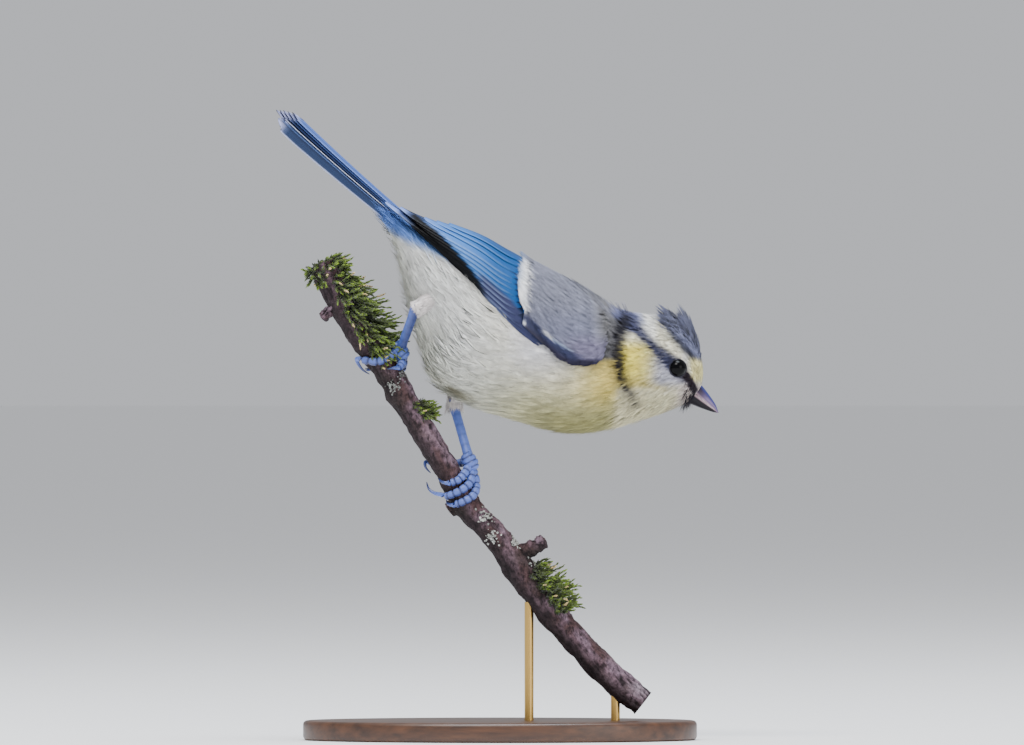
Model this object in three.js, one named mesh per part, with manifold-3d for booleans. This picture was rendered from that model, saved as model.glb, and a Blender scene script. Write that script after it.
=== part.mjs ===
// A young blue tit at life size, leaning down from a mossy twig that a small display stand holds up.
// Units are millimetres, +Z is up. The bird faces +X and its right side faces -Y.
// The origin is the middle of the underside of the stand's base.
import * as THREE from "three";
import { mergeVertices } from "three/addons/utils/BufferGeometryUtils.js";
import Module from "manifold-3d";

const wasm = await Module();
wasm.setup();

// The gap kept between pieces that touch, and how far a surface may move when its small faces are merged
const GAP = 0.3;
const MERGE = 0.03;

// Body: the back line, the belly line and the half width, from the tail coverts to the root of the bill
const BODY_STATIONS = [
  { name: "tip of the tail coverts", back: [-24.5, 114.1], belly: [-25.4, 110.7], half: 3.6 },
  { name: "tail coverts", back: [-19.6, 111.1], belly: [-23.2, 106.8], half: 5.4 },
  { name: "vent", back: [-14.5, 108.3], belly: [-21.5, 101.9], half: 8.0 },
  { name: "rump", back: [-8.5, 106.0], belly: [-20.5, 95.1], half: 11.0 },
  { name: "thighs", back: [-1.7, 104.5], belly: [-17.9, 86.3], half: 13.4 },
  { name: "rear belly", back: [5.3, 102.5], belly: [-14.9, 76.8], half: 14.7 },
  { name: "belly", back: [11.1, 100.4], belly: [-7.7, 71.4], half: 15.1 },
  { name: "breast", back: [16.6, 97.9], belly: [2.6, 68.0], half: 14.7 },
  { name: "upper breast", back: [21.3, 95.1], belly: [12.8, 65.2], half: 13.4 },
  { name: "collar", back: [25.2, 92.5], belly: [22.6, 65.7], half: 11.3 },
  { name: "nape and throat", back: [29.8, 91.2], belly: [30.3, 68.0], half: 10.0 },
  { name: "cheeks", back: [34.5, 90.6], belly: [35.8, 69.9], half: 9.3 },
  { name: "eyes", back: [39.2, 89.1], belly: [38.6, 71.0], half: 7.9 },
  { name: "forehead", back: [42.2, 84.9], belly: [39.9, 71.6], half: 6.0 },
  { name: "lores", back: [43.3, 79.7], belly: [40.5, 72.1], half: 4.0 },
  { name: "root of the bill", back: [43.3, 75.5], belly: [41.1, 72.5], half: 2.2 },
];
const BODY_FULLNESS = 0.08; // how far the widest part lies below the middle
const BODY_AROUND = 26;
const BODY_ALONG = 30;

// Where the body is parted, as shares of its stations
const CUTS = { tail: 0.125, rump: 0.27, belly: 0.45, neck: 0.595, head: 0.665 };

// Eyes and lids
const EYE = { x: 37.7, y: 7.1, z: 79.3, radius: 2.0 };
const LID = { out: 8.25, ring: 2.1, thick: 0.42 };

// Bill, measured along and above the line of the mouth
const BILL = { x: 41.0, z: 73.1, droop: 30, length: 6.5, upper: 3.35, lower: 1.5, mouth: 0.95, half: 2.0, sunk: 0.35 };
const NOSTRIL = { along: 0.9, up: 1.5, radius: 0.38 };

// Crest: rows of raised crown feathers, from the forehead back
const CREST_ROWS = [
  { root: 0.86, tip: 0.812, lift: 1.5, across: [-46, -16, 16, 46], width: 3.0 },
  { root: 0.83, tip: 0.772, lift: 2.2, across: [-56, -30, 0, 30, 56], width: 3.2 },
  { root: 0.79, tip: 0.735, lift: 2.6, across: [-44, -15, 15, 44], width: 3.4 },
  { root: 0.755, tip: 0.7, lift: 2.1, across: [-30, 0, 30], width: 3.4 },
];
const CREST_THICK = 0.55;
const CREST_SUNK = 0.8;

// Wing: its upper edge, its lower edge and how far it stands from the middle plane, shoulder to tip
const WING_TOP = [
  [23.9, 93.6], [20.0, 96.2], [16.0, 98.7], [11.9, 100.6], [7.5, 102.5], [2.1, 105.1],
  [-3.2, 107.9], [-8.5, 109.8], [-13.9, 111.5], [-19.2, 113.6], [-24.2, 116.2],
];
const WING_LOW = [
  [23.9, 83.6], [20.5, 80.6], [14.9, 80.6], [9.6, 83.8], [4.7, 88.3], [0.0, 92.9],
  [-4.7, 97.7], [-9.6, 102.5], [-14.7, 107.2], [-19.4, 111.4], [-24.2, 115.4],
];
const WING_REACH = [12.3, 14.0, 15.2, 15.9, 16.1, 15.6, 14.3, 12.1, 9.4, 6.6, 4.2];
const WING_DEPTH = 3.0; // from the outer face of the folded wing to its inner face
const WING_BED_EDGE = [1.14, 1.42]; // how far round the space for the wing runs, at the shoulder and the tip
const SHOULDER = { from: 0.04, to: 0.4, thick: 1.6, upper: [0.5, 0.05] };

// Feathers of the folded wing, lowest layer first: each tier runs from its first to its last feather,
// and gives root and tip as shares along the wing and round from its upper edge
const VANE_THICK = 0.5;
const WING_TIERS = [
  {
    name: "primaries", count: 5, width: [4.2, 4.8], lift: -1.65,
    root: [[0.3, 0.93], [0.34, 0.7]], tip: [[0.86, 0.97], [0.98, 0.5]],
  },
  {
    name: "secondaries", count: 4, width: [4.4, 5.0], lift: -1.15,
    root: [[0.34, 0.9], [0.36, 0.52]], tip: [[0.62, 0.93], [0.86, 0.5]],
  },
  {
    name: "tertials", count: 3, width: [5.6, 6.6], lift: -0.6,
    root: [[0.36, 0.5], [0.38, 0.22]], tip: [[0.86, 0.34], [0.72, 0.17]],
  },
  {
    name: "primary coverts", count: 2, width: [3.4, 3.6], lift: -0.75,
    root: [[0.14, 0.96], [0.2, 0.86]], tip: [[0.36, 0.98], [0.45, 0.9]],
  },
  {
    name: "greater coverts", count: 5, width: [5.2, 5.2], lift: -0.35,
    root: [[0.2, 0.8], [0.24, 0.16]], tip: [[0.43, 0.8], [0.42, 0.14]],
  },
  {
    name: "median coverts", count: 4, width: [5.8, 6.0], lift: -0.1,
    root: [[0.1, 0.84], [0.14, 0.42]], tip: [[0.29, 0.8], [0.29, 0.26]],
  },
];

// Tail: twelve feathers, six a side, measured from the tail root along the tail
const TAIL = { x: -19.2, z: 107.9, rise: 40.6, roof: 22, step: 0.35, curl: 0.5 };
const TAIL_LENGTHS = [35.6, 36.4, 37.0, 37.2, 37.2, 36.6];
const TAIL_INNER = 0.16;
const TAIL_ROOT_WIDTH = 1.9;
const TAIL_WIDTHS = [2.9, 3.5, 4.1, 4.7, 5.3, 5.9];

// Twig: the middle line from its mossy top end down, and its radius there
const TWIG_LINE = [
  [-37.9, 101.9], [-34.4, 94.4], [-28.8, 84.9], [-23.7, 78.0], [-19.7, 71.2], [-12.2, 59.1],
  [-6.7, 49.5], [-0.7, 43.2], [8.1, 30.7], [15.5, 22.0], [24.0, 13.2], [30.6, 7.9],
];
const TWIG_RADIUS = { top: 2.95, middle: 2.55, bottom: 2.95 };
const TWIG_KNOTS = [
  { down: 32.5, swell: 0.35, spread: 3.0 },
  { down: 60.0, swell: 0.45, spread: 2.0 },
  { down: 78.0, swell: 0.55, spread: 3.5 },
  { down: 89.0, swell: 0.3, spread: 2.5 },
];
const TWIG_STUBS = [
  { down: 9.5, turn: 176, length: 5.4, radius: 1.1, lean: 0.9 },
  { down: 59.0, turn: 182, length: 3.9, radius: 1.5, lean: 0.2 },
  { down: 75.5, turn: 4, length: 8.2, radius: 1.5, lean: 0.8 },
];

// Moss cushions: where each runs along the twig, how far round and how far out
const MOSS = [
  { name: "top", down: [0.2, 2.8], turn: [-60, 200], out: 2.3, size: [2.2, 2.8], count: 6 },
  { name: "side", down: [6.6, 21.6], turn: [-42, 42], out: 4.6, size: [3.0, 3.9], count: 8 },
  { name: "small", down: [37.2, 39.8], turn: [-25, 25], out: 4.2, size: [1.7, 2.1], count: 3 },
  { name: "low", down: [79.5, 90.0], turn: [-35, 35], out: 4.2, size: [2.2, 2.9], count: 6 },
];

// Legs: the heel and the palm of each foot. `down`, `turn` and `out` place a point by the twig
const LEGS = {
  right: {
    side: -1,
    thigh: [[-11.0, -8.6, 94.6], [-15.0, -9.6, 93.2], [-18.1, -9.4, 91.6]],
    thighRadius: [2.9, 2.7, 1.5],
    heel: [-17.8, -9.3, 92.4],
    palm: { down: 25.4, turn: 12, out: 5.0 },
    toes: {
      1: { path: [[25.2, 26, 4.2], [24.9, 58, 3.75], [24.3, 95, 3.75], [22.0, 138, 3.75]], claw: [[21.5, 146, 3.75], [21.3, 158, 3.85], [22.4, 168, 4.0], [23.9, 174, 3.9], [25.4, 178, 3.4]] },
      2: { path: [[26.3, 12, 4.6], [27.6, 26, 3.9], [27.9, 46, 3.75]], claw: [[27.8, 52, 3.7], [27.3, 68, 3.75], [26.8, 84, 3.3]] },
      3: { path: [[25.6, -8, 4.6], [25.6, -45, 3.8], [25.4, -85, 3.75], [24.9, -122, 3.75]], claw: [[24.7, -129, 3.75], [24.2, -146, 3.9], [23.8, -160, 3.4]] },
      4: { path: [[26.4, 0, 4.9], [28.1, -30, 3.9], [28.7, -62, 3.75], [28.6, -98, 3.75]], claw: [[28.5, -105, 3.75], [28.2, -122, 3.85], [27.8, -138, 3.35]] },
    },
  },
  left: {
    side: 1,
    thigh: [[-7.2, 5.6, 79.5], [-9.4, 5.5, 75.5], [-10.4, 5.3, 71.4]],
    thighRadius: [3.2, 2.5, 1.4],
    heel: [-10.2, 5.2, 72.4],
    palm: { down: 52.6, turn: 8, out: 5.2 },
    toes: {
      1: { path: [[52.3, -8, 4.6], [51.7, -45, 3.8], [50.6, -85, 3.75], [48.8, -124, 3.75]], claw: [[48.3, -134, 3.65], [48.0, -150, 3.65], [49.0, -166, 3.75], [50.6, -174, 3.4]] },
      2: { path: [[53.4, 16, 4.6], [54.3, 44, 3.8], [54.8, 72, 3.75], [54.6, 100, 3.75]], claw: [[54.4, 106, 3.75], [53.6, 122, 3.9], [52.4, 138, 3.4]] },
      3: { path: [[54.2, 10, 4.8], [56.3, 34, 3.9], [57.0, 72, 3.75], [56.9, 112, 3.75], [56.6, 140, 3.9]], claw: [[56.0, 147, 4.0], [54.9, 162, 4.9], [53.5, 170, 5.4], [51.9, 173, 5.05]] },
      4: { path: [[54.0, 2, 5.0], [57.4, 10, 4.1], [59.2, 46, 3.8], [59.4, 88, 3.75], [59.0, 122, 3.75]], claw: [[58.9, 129, 3.75], [58.2, 145, 3.9], [57.3, 158, 3.4]] },
    },
  },
};
const TOE = { root: 0.85, tip: 0.66, pads: 3, pad: 0.09 };
const CLAW = { root: 0.56, tip: 0.12 };
const SHANK = { radius: 1.02, heel: 1.25, flare: 0.8, flat: 0.8 };
const PALM = { radius: 1.5, stretch: 1.35 };

// Stand: an oval base and two rods up to the twig
const BASE = { length: 84, width: 52, height: 4.2, bevel: 0.9 };
const RODS = [
  { name: "stand_rod_front", x: 24.6, radius: 1.0 },
  { name: "stand_rod_rear", x: 6.2, radius: 1.0 },
];

const COLOURS = {
  plumage: new THREE.MeshStandardMaterial({ color: 0xd8d9b4, roughness: 0.95, metalness: 0 }),
  head: new THREE.MeshStandardMaterial({ color: 0xd9cf8a, roughness: 0.95, metalness: 0 }),
  wing: new THREE.MeshStandardMaterial({ color: 0x6f8fae, roughness: 0.8, metalness: 0 }),
  tail: new THREE.MeshStandardMaterial({ color: 0x5a7599, roughness: 0.8, metalness: 0 }),
  bill: new THREE.MeshStandardMaterial({ color: 0x4a4350, roughness: 0.35, metalness: 0 }),
  eye: new THREE.MeshStandardMaterial({ color: 0x060606, roughness: 0.05, metalness: 0 }),
  leg: new THREE.MeshStandardMaterial({ color: 0x5570b8, roughness: 0.55, metalness: 0 }),
  claw: new THREE.MeshStandardMaterial({ color: 0x3f5596, roughness: 0.4, metalness: 0 }),
  bark: new THREE.MeshStandardMaterial({ color: 0x5b4650, roughness: 0.9, metalness: 0 }),
  moss: new THREE.MeshStandardMaterial({ color: 0x5f7a1e, roughness: 1, metalness: 0 }),
  wood: new THREE.MeshStandardMaterial({ color: 0x4b2f1e, roughness: 0.45, metalness: 0 }),
  brass: new THREE.MeshStandardMaterial({ color: 0xb08a45, roughness: 0.3, metalness: 1 }),
};

const radians = THREE.MathUtils.degToRad;
const lerp = THREE.MathUtils.lerp;
const point = (x, y, z) => new THREE.Vector3(x, y, z);
const between = ([a, b], share) => lerp(a, b, share);
const flatCurve = (places) => new THREE.SplineCurve(places.map(([x, z]) => new THREE.Vector2(x, z)));
const group = new THREE.Group();

// A seeded draw between 0 and 1
let seed = 7;
function draw() {
  seed = (seed * 16807) % 2147483647;
  return seed / 2147483647;
}

// A closed geometry as a solid, with its faces turned out
function solidOf(geometry) {
  const bare = new THREE.BufferGeometry().setAttribute("position", geometry.getAttribute("position"));
  bare.setIndex(geometry.getIndex());
  const merged = mergeVertices(bare, 1e-4);
  const corners = merged.getIndex().array;
  const kept = [];
  for (let i = 0; i < corners.length; i += 3) {
    const [a, b, c] = corners.slice(i, i + 3);
    if (a !== b && b !== c && a !== c) kept.push(a, b, c);
  }
  const build = (triVerts) =>
    new wasm.Manifold(
      new wasm.Mesh({
        numProp: 3,
        vertProperties: new Float32Array(merged.getAttribute("position").array),
        triVerts: new Uint32Array(triVerts),
      }),
    );
  const solid = build(kept);
  if (solid.volume() > 0) return solid;
  for (let i = 0; i < kept.length; i += 3) [kept[i + 1], kept[i + 2]] = [kept[i + 2], kept[i + 1]];
  return build(kept);
}

// Joins solids and keeps the largest closed body
function joined(solids) {
  return merged(solids.reduce((a, b) => a.add(b)));
}

// The largest closed body of a solid, with its slivers merged away
function merged(solid) {
  return largest(solid.asOriginal().simplify(MERGE));
}

function largest(solid) {
  return solid.decompose().reduce((a, b) => (b.volume() > a.volume() ? b : a));
}

// Adds a solid to the group as a named mesh
function node(name, solid, material) {
  const { vertProperties, triVerts, numProp } = merged(solid).getMesh();
  const places = new Float32Array((vertProperties.length / numProp) * 3);
  for (let i = 0; i < places.length / 3; i++) {
    places.set(vertProperties.subarray(i * numProp, i * numProp + 3), i * 3);
  }
  const geometry = new THREE.BufferGeometry();
  geometry.setAttribute("position", new THREE.BufferAttribute(places, 3));
  geometry.setIndex(new THREE.BufferAttribute(triVerts, 1));
  const mesh = new THREE.Mesh(geometry, material);
  mesh.name = name;
  group.add(mesh);
}

// A round closed form: place(s, a) gives the point at share s of the length and angle a round it
function formed(place, around, along) {
  const geometry = new THREE.SphereGeometry(1, around, along);
  const position = geometry.getAttribute("position");
  const uv = geometry.getAttribute("uv");
  for (let i = 0; i < position.count; i++) {
    const p = place(1 - uv.getY(i), 2 * Math.PI * uv.getX(i));
    position.setXYZ(i, p.x, p.y, p.z);
  }
  return solidOf(geometry);
}

// A closed tube with flat ends along a curve, where radius(t) is its half thickness. `grown` widens and
// lengthens it, and `flat` is its thickness along Y as a share of its depth
function tube(curve, radius, around, along, grown = 0, flat = 1) {
  const frames = curve.computeFrenetFrames(along - 2, false);
  return formed(
    (s, a) => {
      const ring = Math.round(s * along);
      const i = THREE.MathUtils.clamp(ring - 1, 0, along - 2);
      const t = i / (along - 2);
      const past = t % 1 ? 0 : grown * (t ? 1 : -1);
      const middle = curve.getPointAt(t).addScaledVector(frames.tangents[i], past);
      if (ring === 0 || ring === along) return middle;
      const reach = frames.normals[i].clone().multiplyScalar(Math.cos(a));
      reach.addScaledVector(frames.binormals[i], Math.sin(a));
      const thin = new THREE.Vector3(1, flat, 1);
      return middle.add(reach.clone().multiply(thin).multiplyScalar(radius(t))).addScaledVector(reach, grown);
    },
    around,
    along,
  );
}

function ball(centre, radii, around, along) {
  return formed(
    (s, a) =>
      point(
        centre.x + radii.x * Math.sin(Math.PI * s) * Math.cos(a),
        centre.y + radii.y * Math.sin(Math.PI * s) * Math.sin(a),
        centre.z + radii.z * Math.cos(Math.PI * s),
      ),
    around,
    along,
  );
}

// A thin closed plate, its two faces split into triangles alike: place(u, v, face) has face 1 or -1
function plate(place, nu, nv) {
  const places = [];
  const triangles = [];
  const at = (i, j, face) => (face > 0 ? 0 : (nu + 1) * (nv + 1)) + i * (nv + 1) + j;
  for (const face of [1, -1]) {
    for (let i = 0; i <= nu; i++) {
      for (let j = 0; j <= nv; j++) places.push(...place(i / nu, j / nv, face).toArray());
    }
  }
  for (let i = 0; i < nu; i++) {
    for (let j = 0; j < nv; j++) {
      triangles.push(at(i, j, 1), at(i + 1, j, 1), at(i + 1, j + 1, 1));
      triangles.push(at(i, j, 1), at(i + 1, j + 1, 1), at(i, j + 1, 1));
      triangles.push(at(i, j, -1), at(i + 1, j + 1, -1), at(i + 1, j, -1));
      triangles.push(at(i, j, -1), at(i, j + 1, -1), at(i + 1, j + 1, -1));
    }
  }
  const wall = (a, b) => {
    triangles.push(at(...a, 1), at(...a, -1), at(...b, -1));
    triangles.push(at(...a, 1), at(...b, -1), at(...b, 1));
  };
  for (let i = 0; i < nu; i++) {
    wall([i, 0], [i + 1, 0]);
    wall([i + 1, nv], [i, nv]);
  }
  for (let j = 0; j < nv; j++) {
    wall([0, j + 1], [0, j]);
    wall([nu, j], [nu, j + 1]);
  }
  const geometry = new THREE.BufferGeometry();
  geometry.setAttribute("position", new THREE.BufferAttribute(new Float32Array(places), 3));
  geometry.setIndex(triangles);
  return solidOf(geometry);
}

// The width of a vane at share t of its length, as a share of its full width
function vaneWidth(t) {
  const root = Math.min(1, 0.55 + 1.8 * t);
  const tip = Math.sqrt(Math.max(0, 1 - Math.max(0, (t - 0.72) / 0.31) ** 2));
  return root * Math.max(0.16, tip);
}

// A vane along `line(t)`, which gives its middle, the way across it and the way out of it
function vane(line, width, thick, tilt, along = 4) {
  return plate(
    (t, v, face) => {
      const { middle, across, out } = line(t);
      const q = 2 * v - 1;
      const reach = (q * width * vaneWidth(t)) / 2;
      const crown = 0.05 * width * (1 - q * q);
      const half = thick * (0.5 + 0.18 * (1 - q * q) - 0.16 * t);
      return middle
        .clone()
        .addScaledVector(across, reach)
        .addScaledVector(out, tilt * reach + crown + face * half);
    },
    along,
    2,
  );
}

// Body
const backLine = flatCurve(BODY_STATIONS.map((s) => s.back));
const bellyLine = flatCurve(BODY_STATIONS.map((s) => s.belly));
const halfLine = flatCurve(BODY_STATIONS.map((s, i) => [i, s.half]));

function bodyRing(t) {
  const back = backLine.getPoint(t);
  const belly = bellyLine.getPoint(t);
  return {
    middle: back.clone().add(belly).multiplyScalar(0.5),
    up: back.clone().sub(belly).multiplyScalar(0.5),
    half: halfLine.getPoint(t).y,
  };
}

// A point on the body at share t, `a` radians round from the back towards +Y, `out` mm above the surface
function bodyPoint(t, a, out = 0) {
  const { middle, up, half } = bodyRing(t);
  const grown = 1 + out / up.length();
  return point(
    middle.x + up.x * grown * Math.cos(a),
    (half + out) * Math.sin(a) * (1 - BODY_FULLNESS * Math.cos(a)),
    middle.y + up.y * grown * Math.cos(a),
  );
}

function bodyForm(out = 0) {
  return formed(
    (s, a) => {
      const ring = Math.round(s * BODY_ALONG);
      const t = THREE.MathUtils.clamp((ring - 1) / (BODY_ALONG - 2), 0, 1);
      const { middle } = bodyRing(t);
      const place = ring % BODY_ALONG ? bodyPoint(t, a, out) : point(middle.x, 0, middle.y);
      return t % 1 ? place : place.addScaledVector(bodyPlane(t).normal, t ? out : -out);
    },
    BODY_AROUND,
    BODY_ALONG,
  );
}

// The plane across the body at share t, as a normal towards the bill and its distance from the origin
function bodyPlane(t) {
  const { middle, up } = bodyRing(t);
  const normal = point(up.y, 0, -up.x).normalize();
  return { normal, offset: normal.dot(point(middle.x, 0, middle.y)) };
}

function ahead(solid, t) {
  const { normal, offset } = bodyPlane(t);
  return solid.trimByPlane(normal.toArray(), offset + GAP / 2);
}

function behind(solid, t) {
  const { normal, offset } = bodyPlane(t);
  return solid.trimByPlane(normal.negate().toArray(), GAP / 2 - offset);
}

// Wing
const wingTop = flatCurve(WING_TOP);
const wingLow = flatCurve(WING_LOW);
const wingReach = flatCurve(WING_REACH.map((reach, i) => [i, reach]));

// A point on the folded wing's outer face: share u from shoulder to tip, share v round from its upper edge
function wingFace(u, v, side) {
  const turn = (v * Math.PI) / 2;
  const top = wingTop.getPoint(u);
  const low = wingLow.getPoint(u);
  const place = top.lerp(low, 1 - Math.cos(turn));
  return point(place.x, side * wingReach.getPoint(u).y * Math.sin(turn), place.y);
}

function wingOut(u, v, side) {
  const step = 0.01;
  const along = wingFace(Math.min(1, u + step), v, side).sub(wingFace(Math.max(0, u - step), v, side));
  const round = wingFace(u, v + step, side).sub(wingFace(u, v - step, side));
  return along.cross(round).multiplyScalar(-side).normalize();
}

function wingPoint(u, v, side, lift) {
  return wingFace(u, v, side).addScaledVector(wingOut(u, v, side), lift);
}

// The line of one wing feather between two places on the wing
function wingLine(root, tip, side, lift) {
  const place = (t) => {
    const u = lerp(root[0], tip[0], t);
    const v = lerp(root[1], tip[1], t * t * 0.4 + t * 0.6);
    return wingPoint(u, v, side, lift(t));
  };
  return (t) => {
    const u = lerp(root[0], tip[0], t);
    const v = lerp(root[1], tip[1], t * t * 0.4 + t * 0.6);
    const out = wingOut(u, v, side);
    const along = place(Math.min(1, t + 0.02)).sub(place(Math.max(0, t - 0.02)));
    const across = along.cross(out).multiplyScalar(side).normalize();
    return { middle: place(t), across, out };
  };
}

function wing(side) {
  const pieces = [];
  const upper = (u) => lerp(SHOULDER.upper[0], SHOULDER.upper[1], u);
  pieces.push(
    plate(
      (s, v, face) => {
        const u = lerp(SHOULDER.from, SHOULDER.to, s);
        const round = lerp(upper(s), 0.99, v);
        const rim = Math.min(1, 4 * v, 4 * (1 - v), 3 * s + 0.3, 3 * (1 - s) + 0.3);
        const thick = lerp(0.5, SHOULDER.thick, rim);
        return wingPoint(u, round, side, -SHOULDER.thick / 2 + (face * thick) / 2 - 0.1);
      },
      4,
      6,
    ),
  );
  for (const tier of WING_TIERS) {
    for (let i = 0; i < tier.count; i++) {
      const share = i / (tier.count - 1);
      const root = [0, 1].map((k) => lerp(tier.root[0][k], tier.root[1][k], share));
      const tip = [0, 1].map((k) => lerp(tier.tip[0][k], tier.tip[1][k], share));
      const stack = tier.lift + 0.08 * i;
      const line = wingLine(root, tip, side, (t) => stack - 0.25 * (1 - t));
      pieces.push(vane(line, between(tier.width, share), VANE_THICK, 0.1));
    }
  }
  return joined(pieces).trimByPlane([0, side, 0], GAP / 2);
}

// The space that a folded wing needs, with the gap round it
function wingBed(side) {
  return plate(
    (u, v, face) => {
      const upper = lerp(SHOULDER.upper[0] - 0.06, -0.05, Math.min(1, u / 0.4));
      const round = lerp(upper, lerp(WING_BED_EDGE[0], WING_BED_EDGE[1], u), v);
      return wingPoint(u, round, side, face > 0 ? 9 : -WING_DEPTH - GAP);
    },
    12,
    8,
  );
}

// Tail
const tailAlong = point(-Math.cos(radians(TAIL.rise)), 0, Math.sin(radians(TAIL.rise)));
const tailUp = point(Math.sin(radians(TAIL.rise)), 0, Math.cos(radians(TAIL.rise)));

function tailFeather(number, side) {
  const length = TAIL_LENGTHS[number];
  const roof = radians(TAIL.roof);
  return plate(
    (t, v, face) => {
      const tip = Math.max(0, (t - 0.86) / 0.14);
      const width = lerp(TAIL_ROOT_WIDTH, TAIL_WIDTHS[number], Math.min(1, t * 1.15));
      const y = TAIL_INNER + width * v;
      const notch = tip * 2.2 * Math.abs(v - 0.72);
      const out = y * Math.cos(roof);
      const drop = y * Math.sin(roof) + TAIL.step * number - TAIL.curl * t * t;
      const half = (VANE_THICK / 2) * (1 - 0.3 * t);
      return point(TAIL.x, side * out, TAIL.z)
        .addScaledVector(tailAlong, length * t - notch)
        .addScaledVector(tailUp, face * half - drop + 1.6);
    },
    6,
    2,
  );
}

// Head fittings
function crest() {
  const locks = [];
  for (const row of CREST_ROWS) {
    row.across.forEach((degrees, i) => {
      const a = radians(degrees);
      const shift = 0.012 * (draw() - 0.5);
      const rise = (t) => lerp(-CREST_SUNK, row.lift, t ** 1.3);
      const place = (t) => bodyPoint(lerp(row.root, row.tip + shift, t), a * (1 - 0.2 * t), rise(t));
      const line = (t) => {
        const along = place(Math.min(1, t + 0.05)).sub(place(Math.max(0, t - 0.05)));
        const out = point(0, Math.sin(a), Math.cos(a));
        const across = along.clone().cross(out).normalize();
        return { middle: place(t), across, out: across.clone().cross(along).normalize() };
      };
      locks.push(vane(line, row.width * (1 - 0.06 * (i % 2)), CREST_THICK, 0, 3));
    });
  }
  return locks;
}

function eyeBall(side, radius) {
  return ball(point(EYE.x, side * EYE.y, EYE.z), point(radius, radius, radius), 14, 10);
}

function lid(side) {
  const geometry = new THREE.TorusGeometry(LID.ring, LID.thick, 5, 16);
  geometry.rotateX(Math.PI / 2);
  geometry.rotateZ(side * radians(-14));
  geometry.translate(EYE.x + 0.12, side * LID.out, EYE.z);
  return solidOf(geometry);
}

// A point of the bill: mm along the mouth from its corner, mm to the side, and mm above the mouth
function billPoint(along, y, up) {
  const droop = radians(BILL.droop);
  return point(
    BILL.x + along * Math.cos(droop) + up * Math.sin(droop),
    y,
    BILL.z - along * Math.sin(droop) + up * Math.cos(droop),
  );
}

function mandible(height, upper) {
  return formed(
    (s, a) => {
      const t = lerp(-BILL.sunk, 1, s);
      const taper = Math.min(1, 1 - t) ** 0.74;
      const rounded = s === 0 ? 0 : Math.max(taper, s === 1 ? 0 : 0.05);
      const ridge = Math.max(0, Math.cos(a)) ** 0.85;
      const mouth = BILL.mouth * Math.max(0, 1 - t) ** 1.3 * Math.min(1, 2 * rounded);
      const side = upper ? 1 : -1;
      const up = mouth + side * (GAP / 2 + (height * rounded - side * mouth) * ridge);
      return billPoint(t * BILL.length, BILL.half * rounded * Math.sin(a), up);
    },
    12,
    9,
  );
}

// Twig
const twigLine = new THREE.CatmullRomCurve3(TWIG_LINE.map(([x, z]) => point(x, 0, z)));
const twigLength = twigLine.getLength();

function twigRadius(t) {
  const { top, middle, bottom } = TWIG_RADIUS;
  const plain = t < 0.35 ? lerp(top, middle, t / 0.35) : lerp(middle, bottom, (t - 0.35) / 0.65);
  const knots = TWIG_KNOTS.map((k) => k.swell * Math.exp(-(((t * twigLength - k.down) / k.spread) ** 2)));
  return plain + knots.reduce((a, b) => a + b);
}

// A point by the twig: mm down its middle line, degrees round it from its upper side towards -Y, mm out
function byTwig(down, turn, out) {
  const t = down / twigLength;
  const along = twigLine.getTangentAt(t);
  const up = point(-along.z, 0, along.x);
  return twigLine
    .getPointAt(t)
    .addScaledVector(up, out * Math.cos(radians(turn)))
    .addScaledVector(point(0, -1, 0), out * Math.sin(radians(turn)));
}

function twig(grown = 0) {
  const pieces = [tube(twigLine, twigRadius, 12, 26, grown)];
  for (const stub of TWIG_STUBS) {
    const line = new THREE.CatmullRomCurve3([
      byTwig(stub.down, stub.turn, 0.5),
      byTwig(stub.down + stub.lean * 0.6, stub.turn, stub.length * 0.6),
      byTwig(stub.down + stub.lean, stub.turn, stub.length),
    ]);
    pieces.push(tube(line, (t) => stub.radius * (1.25 - 0.35 * t), 6, 5, grown));
  }
  return joined(pieces);
}

function moss(patch) {
  const lumps = [];
  for (let i = 0; i < patch.count; i++) {
    const share = (i + 0.5) / patch.count;
    const down = lerp(patch.down[0], patch.down[1], share);
    const turn = lerp(patch.turn[0], patch.turn[1], (i * 0.618 + 0.2 * draw()) % 1);
    const size = lerp(patch.size[0], patch.size[1], draw()) * (0.72 + 0.28 * Math.sin(Math.PI * share));
    const centre = byTwig(down, turn, patch.out);
    lumps.push(ball(centre, point(size, size * 0.95, size * 0.9), 7, 5));
  }
  return joined(lumps);
}

// Legs and feet
function curveOf(places) {
  return new THREE.CatmullRomCurve3(places.map((p) => point(...p)));
}

function toeTube(path, grown) {
  const radius = (t) => lerp(TOE.root, TOE.tip, t) + TOE.pad * Math.sin(TOE.pads * 2 * Math.PI * t);
  return tube(new THREE.CatmullRomCurve3(path.map((p) => byTwig(...p))), radius, 6, 10, grown);
}

function clawTube(path, grown) {
  const radius = (t) => lerp(CLAW.root, CLAW.tip, t ** 1.1);
  return tube(new THREE.CatmullRomCurve3(path.map((p) => byTwig(...p))), radius, 6, 7, grown);
}

function palm(leg, grown) {
  const { down, turn, out } = leg.palm;
  const along = twigLine.getTangentAt(down / twigLength);
  const reach = PALM.radius * PALM.stretch;
  const ends = [-1, 0, 1].map((k) => byTwig(down, turn, out).addScaledVector(along, (k * reach) / 1.5));
  const radius = (t) => PALM.radius * Math.sqrt(1 - 0.75 * (2 * t - 1) ** 2);
  return tube(new THREE.CatmullRomCurve3(ends), radius, 8, 6, grown);
}

function shank(leg, grown) {
  const { down, turn, out } = leg.palm;
  const foot = byTwig(down, turn, out);
  const heel = point(...leg.heel);
  const line = new THREE.CatmullRomCurve3([heel, heel.clone().lerp(foot, 0.5), foot]);
  const radius = (t) => lerp(SHANK.heel, SHANK.radius, Math.min(1, 3 * t)) + SHANK.flare * Math.max(0, t - 0.75);
  return tube(line, radius, 8, 7, grown, SHANK.flat);
}

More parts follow.
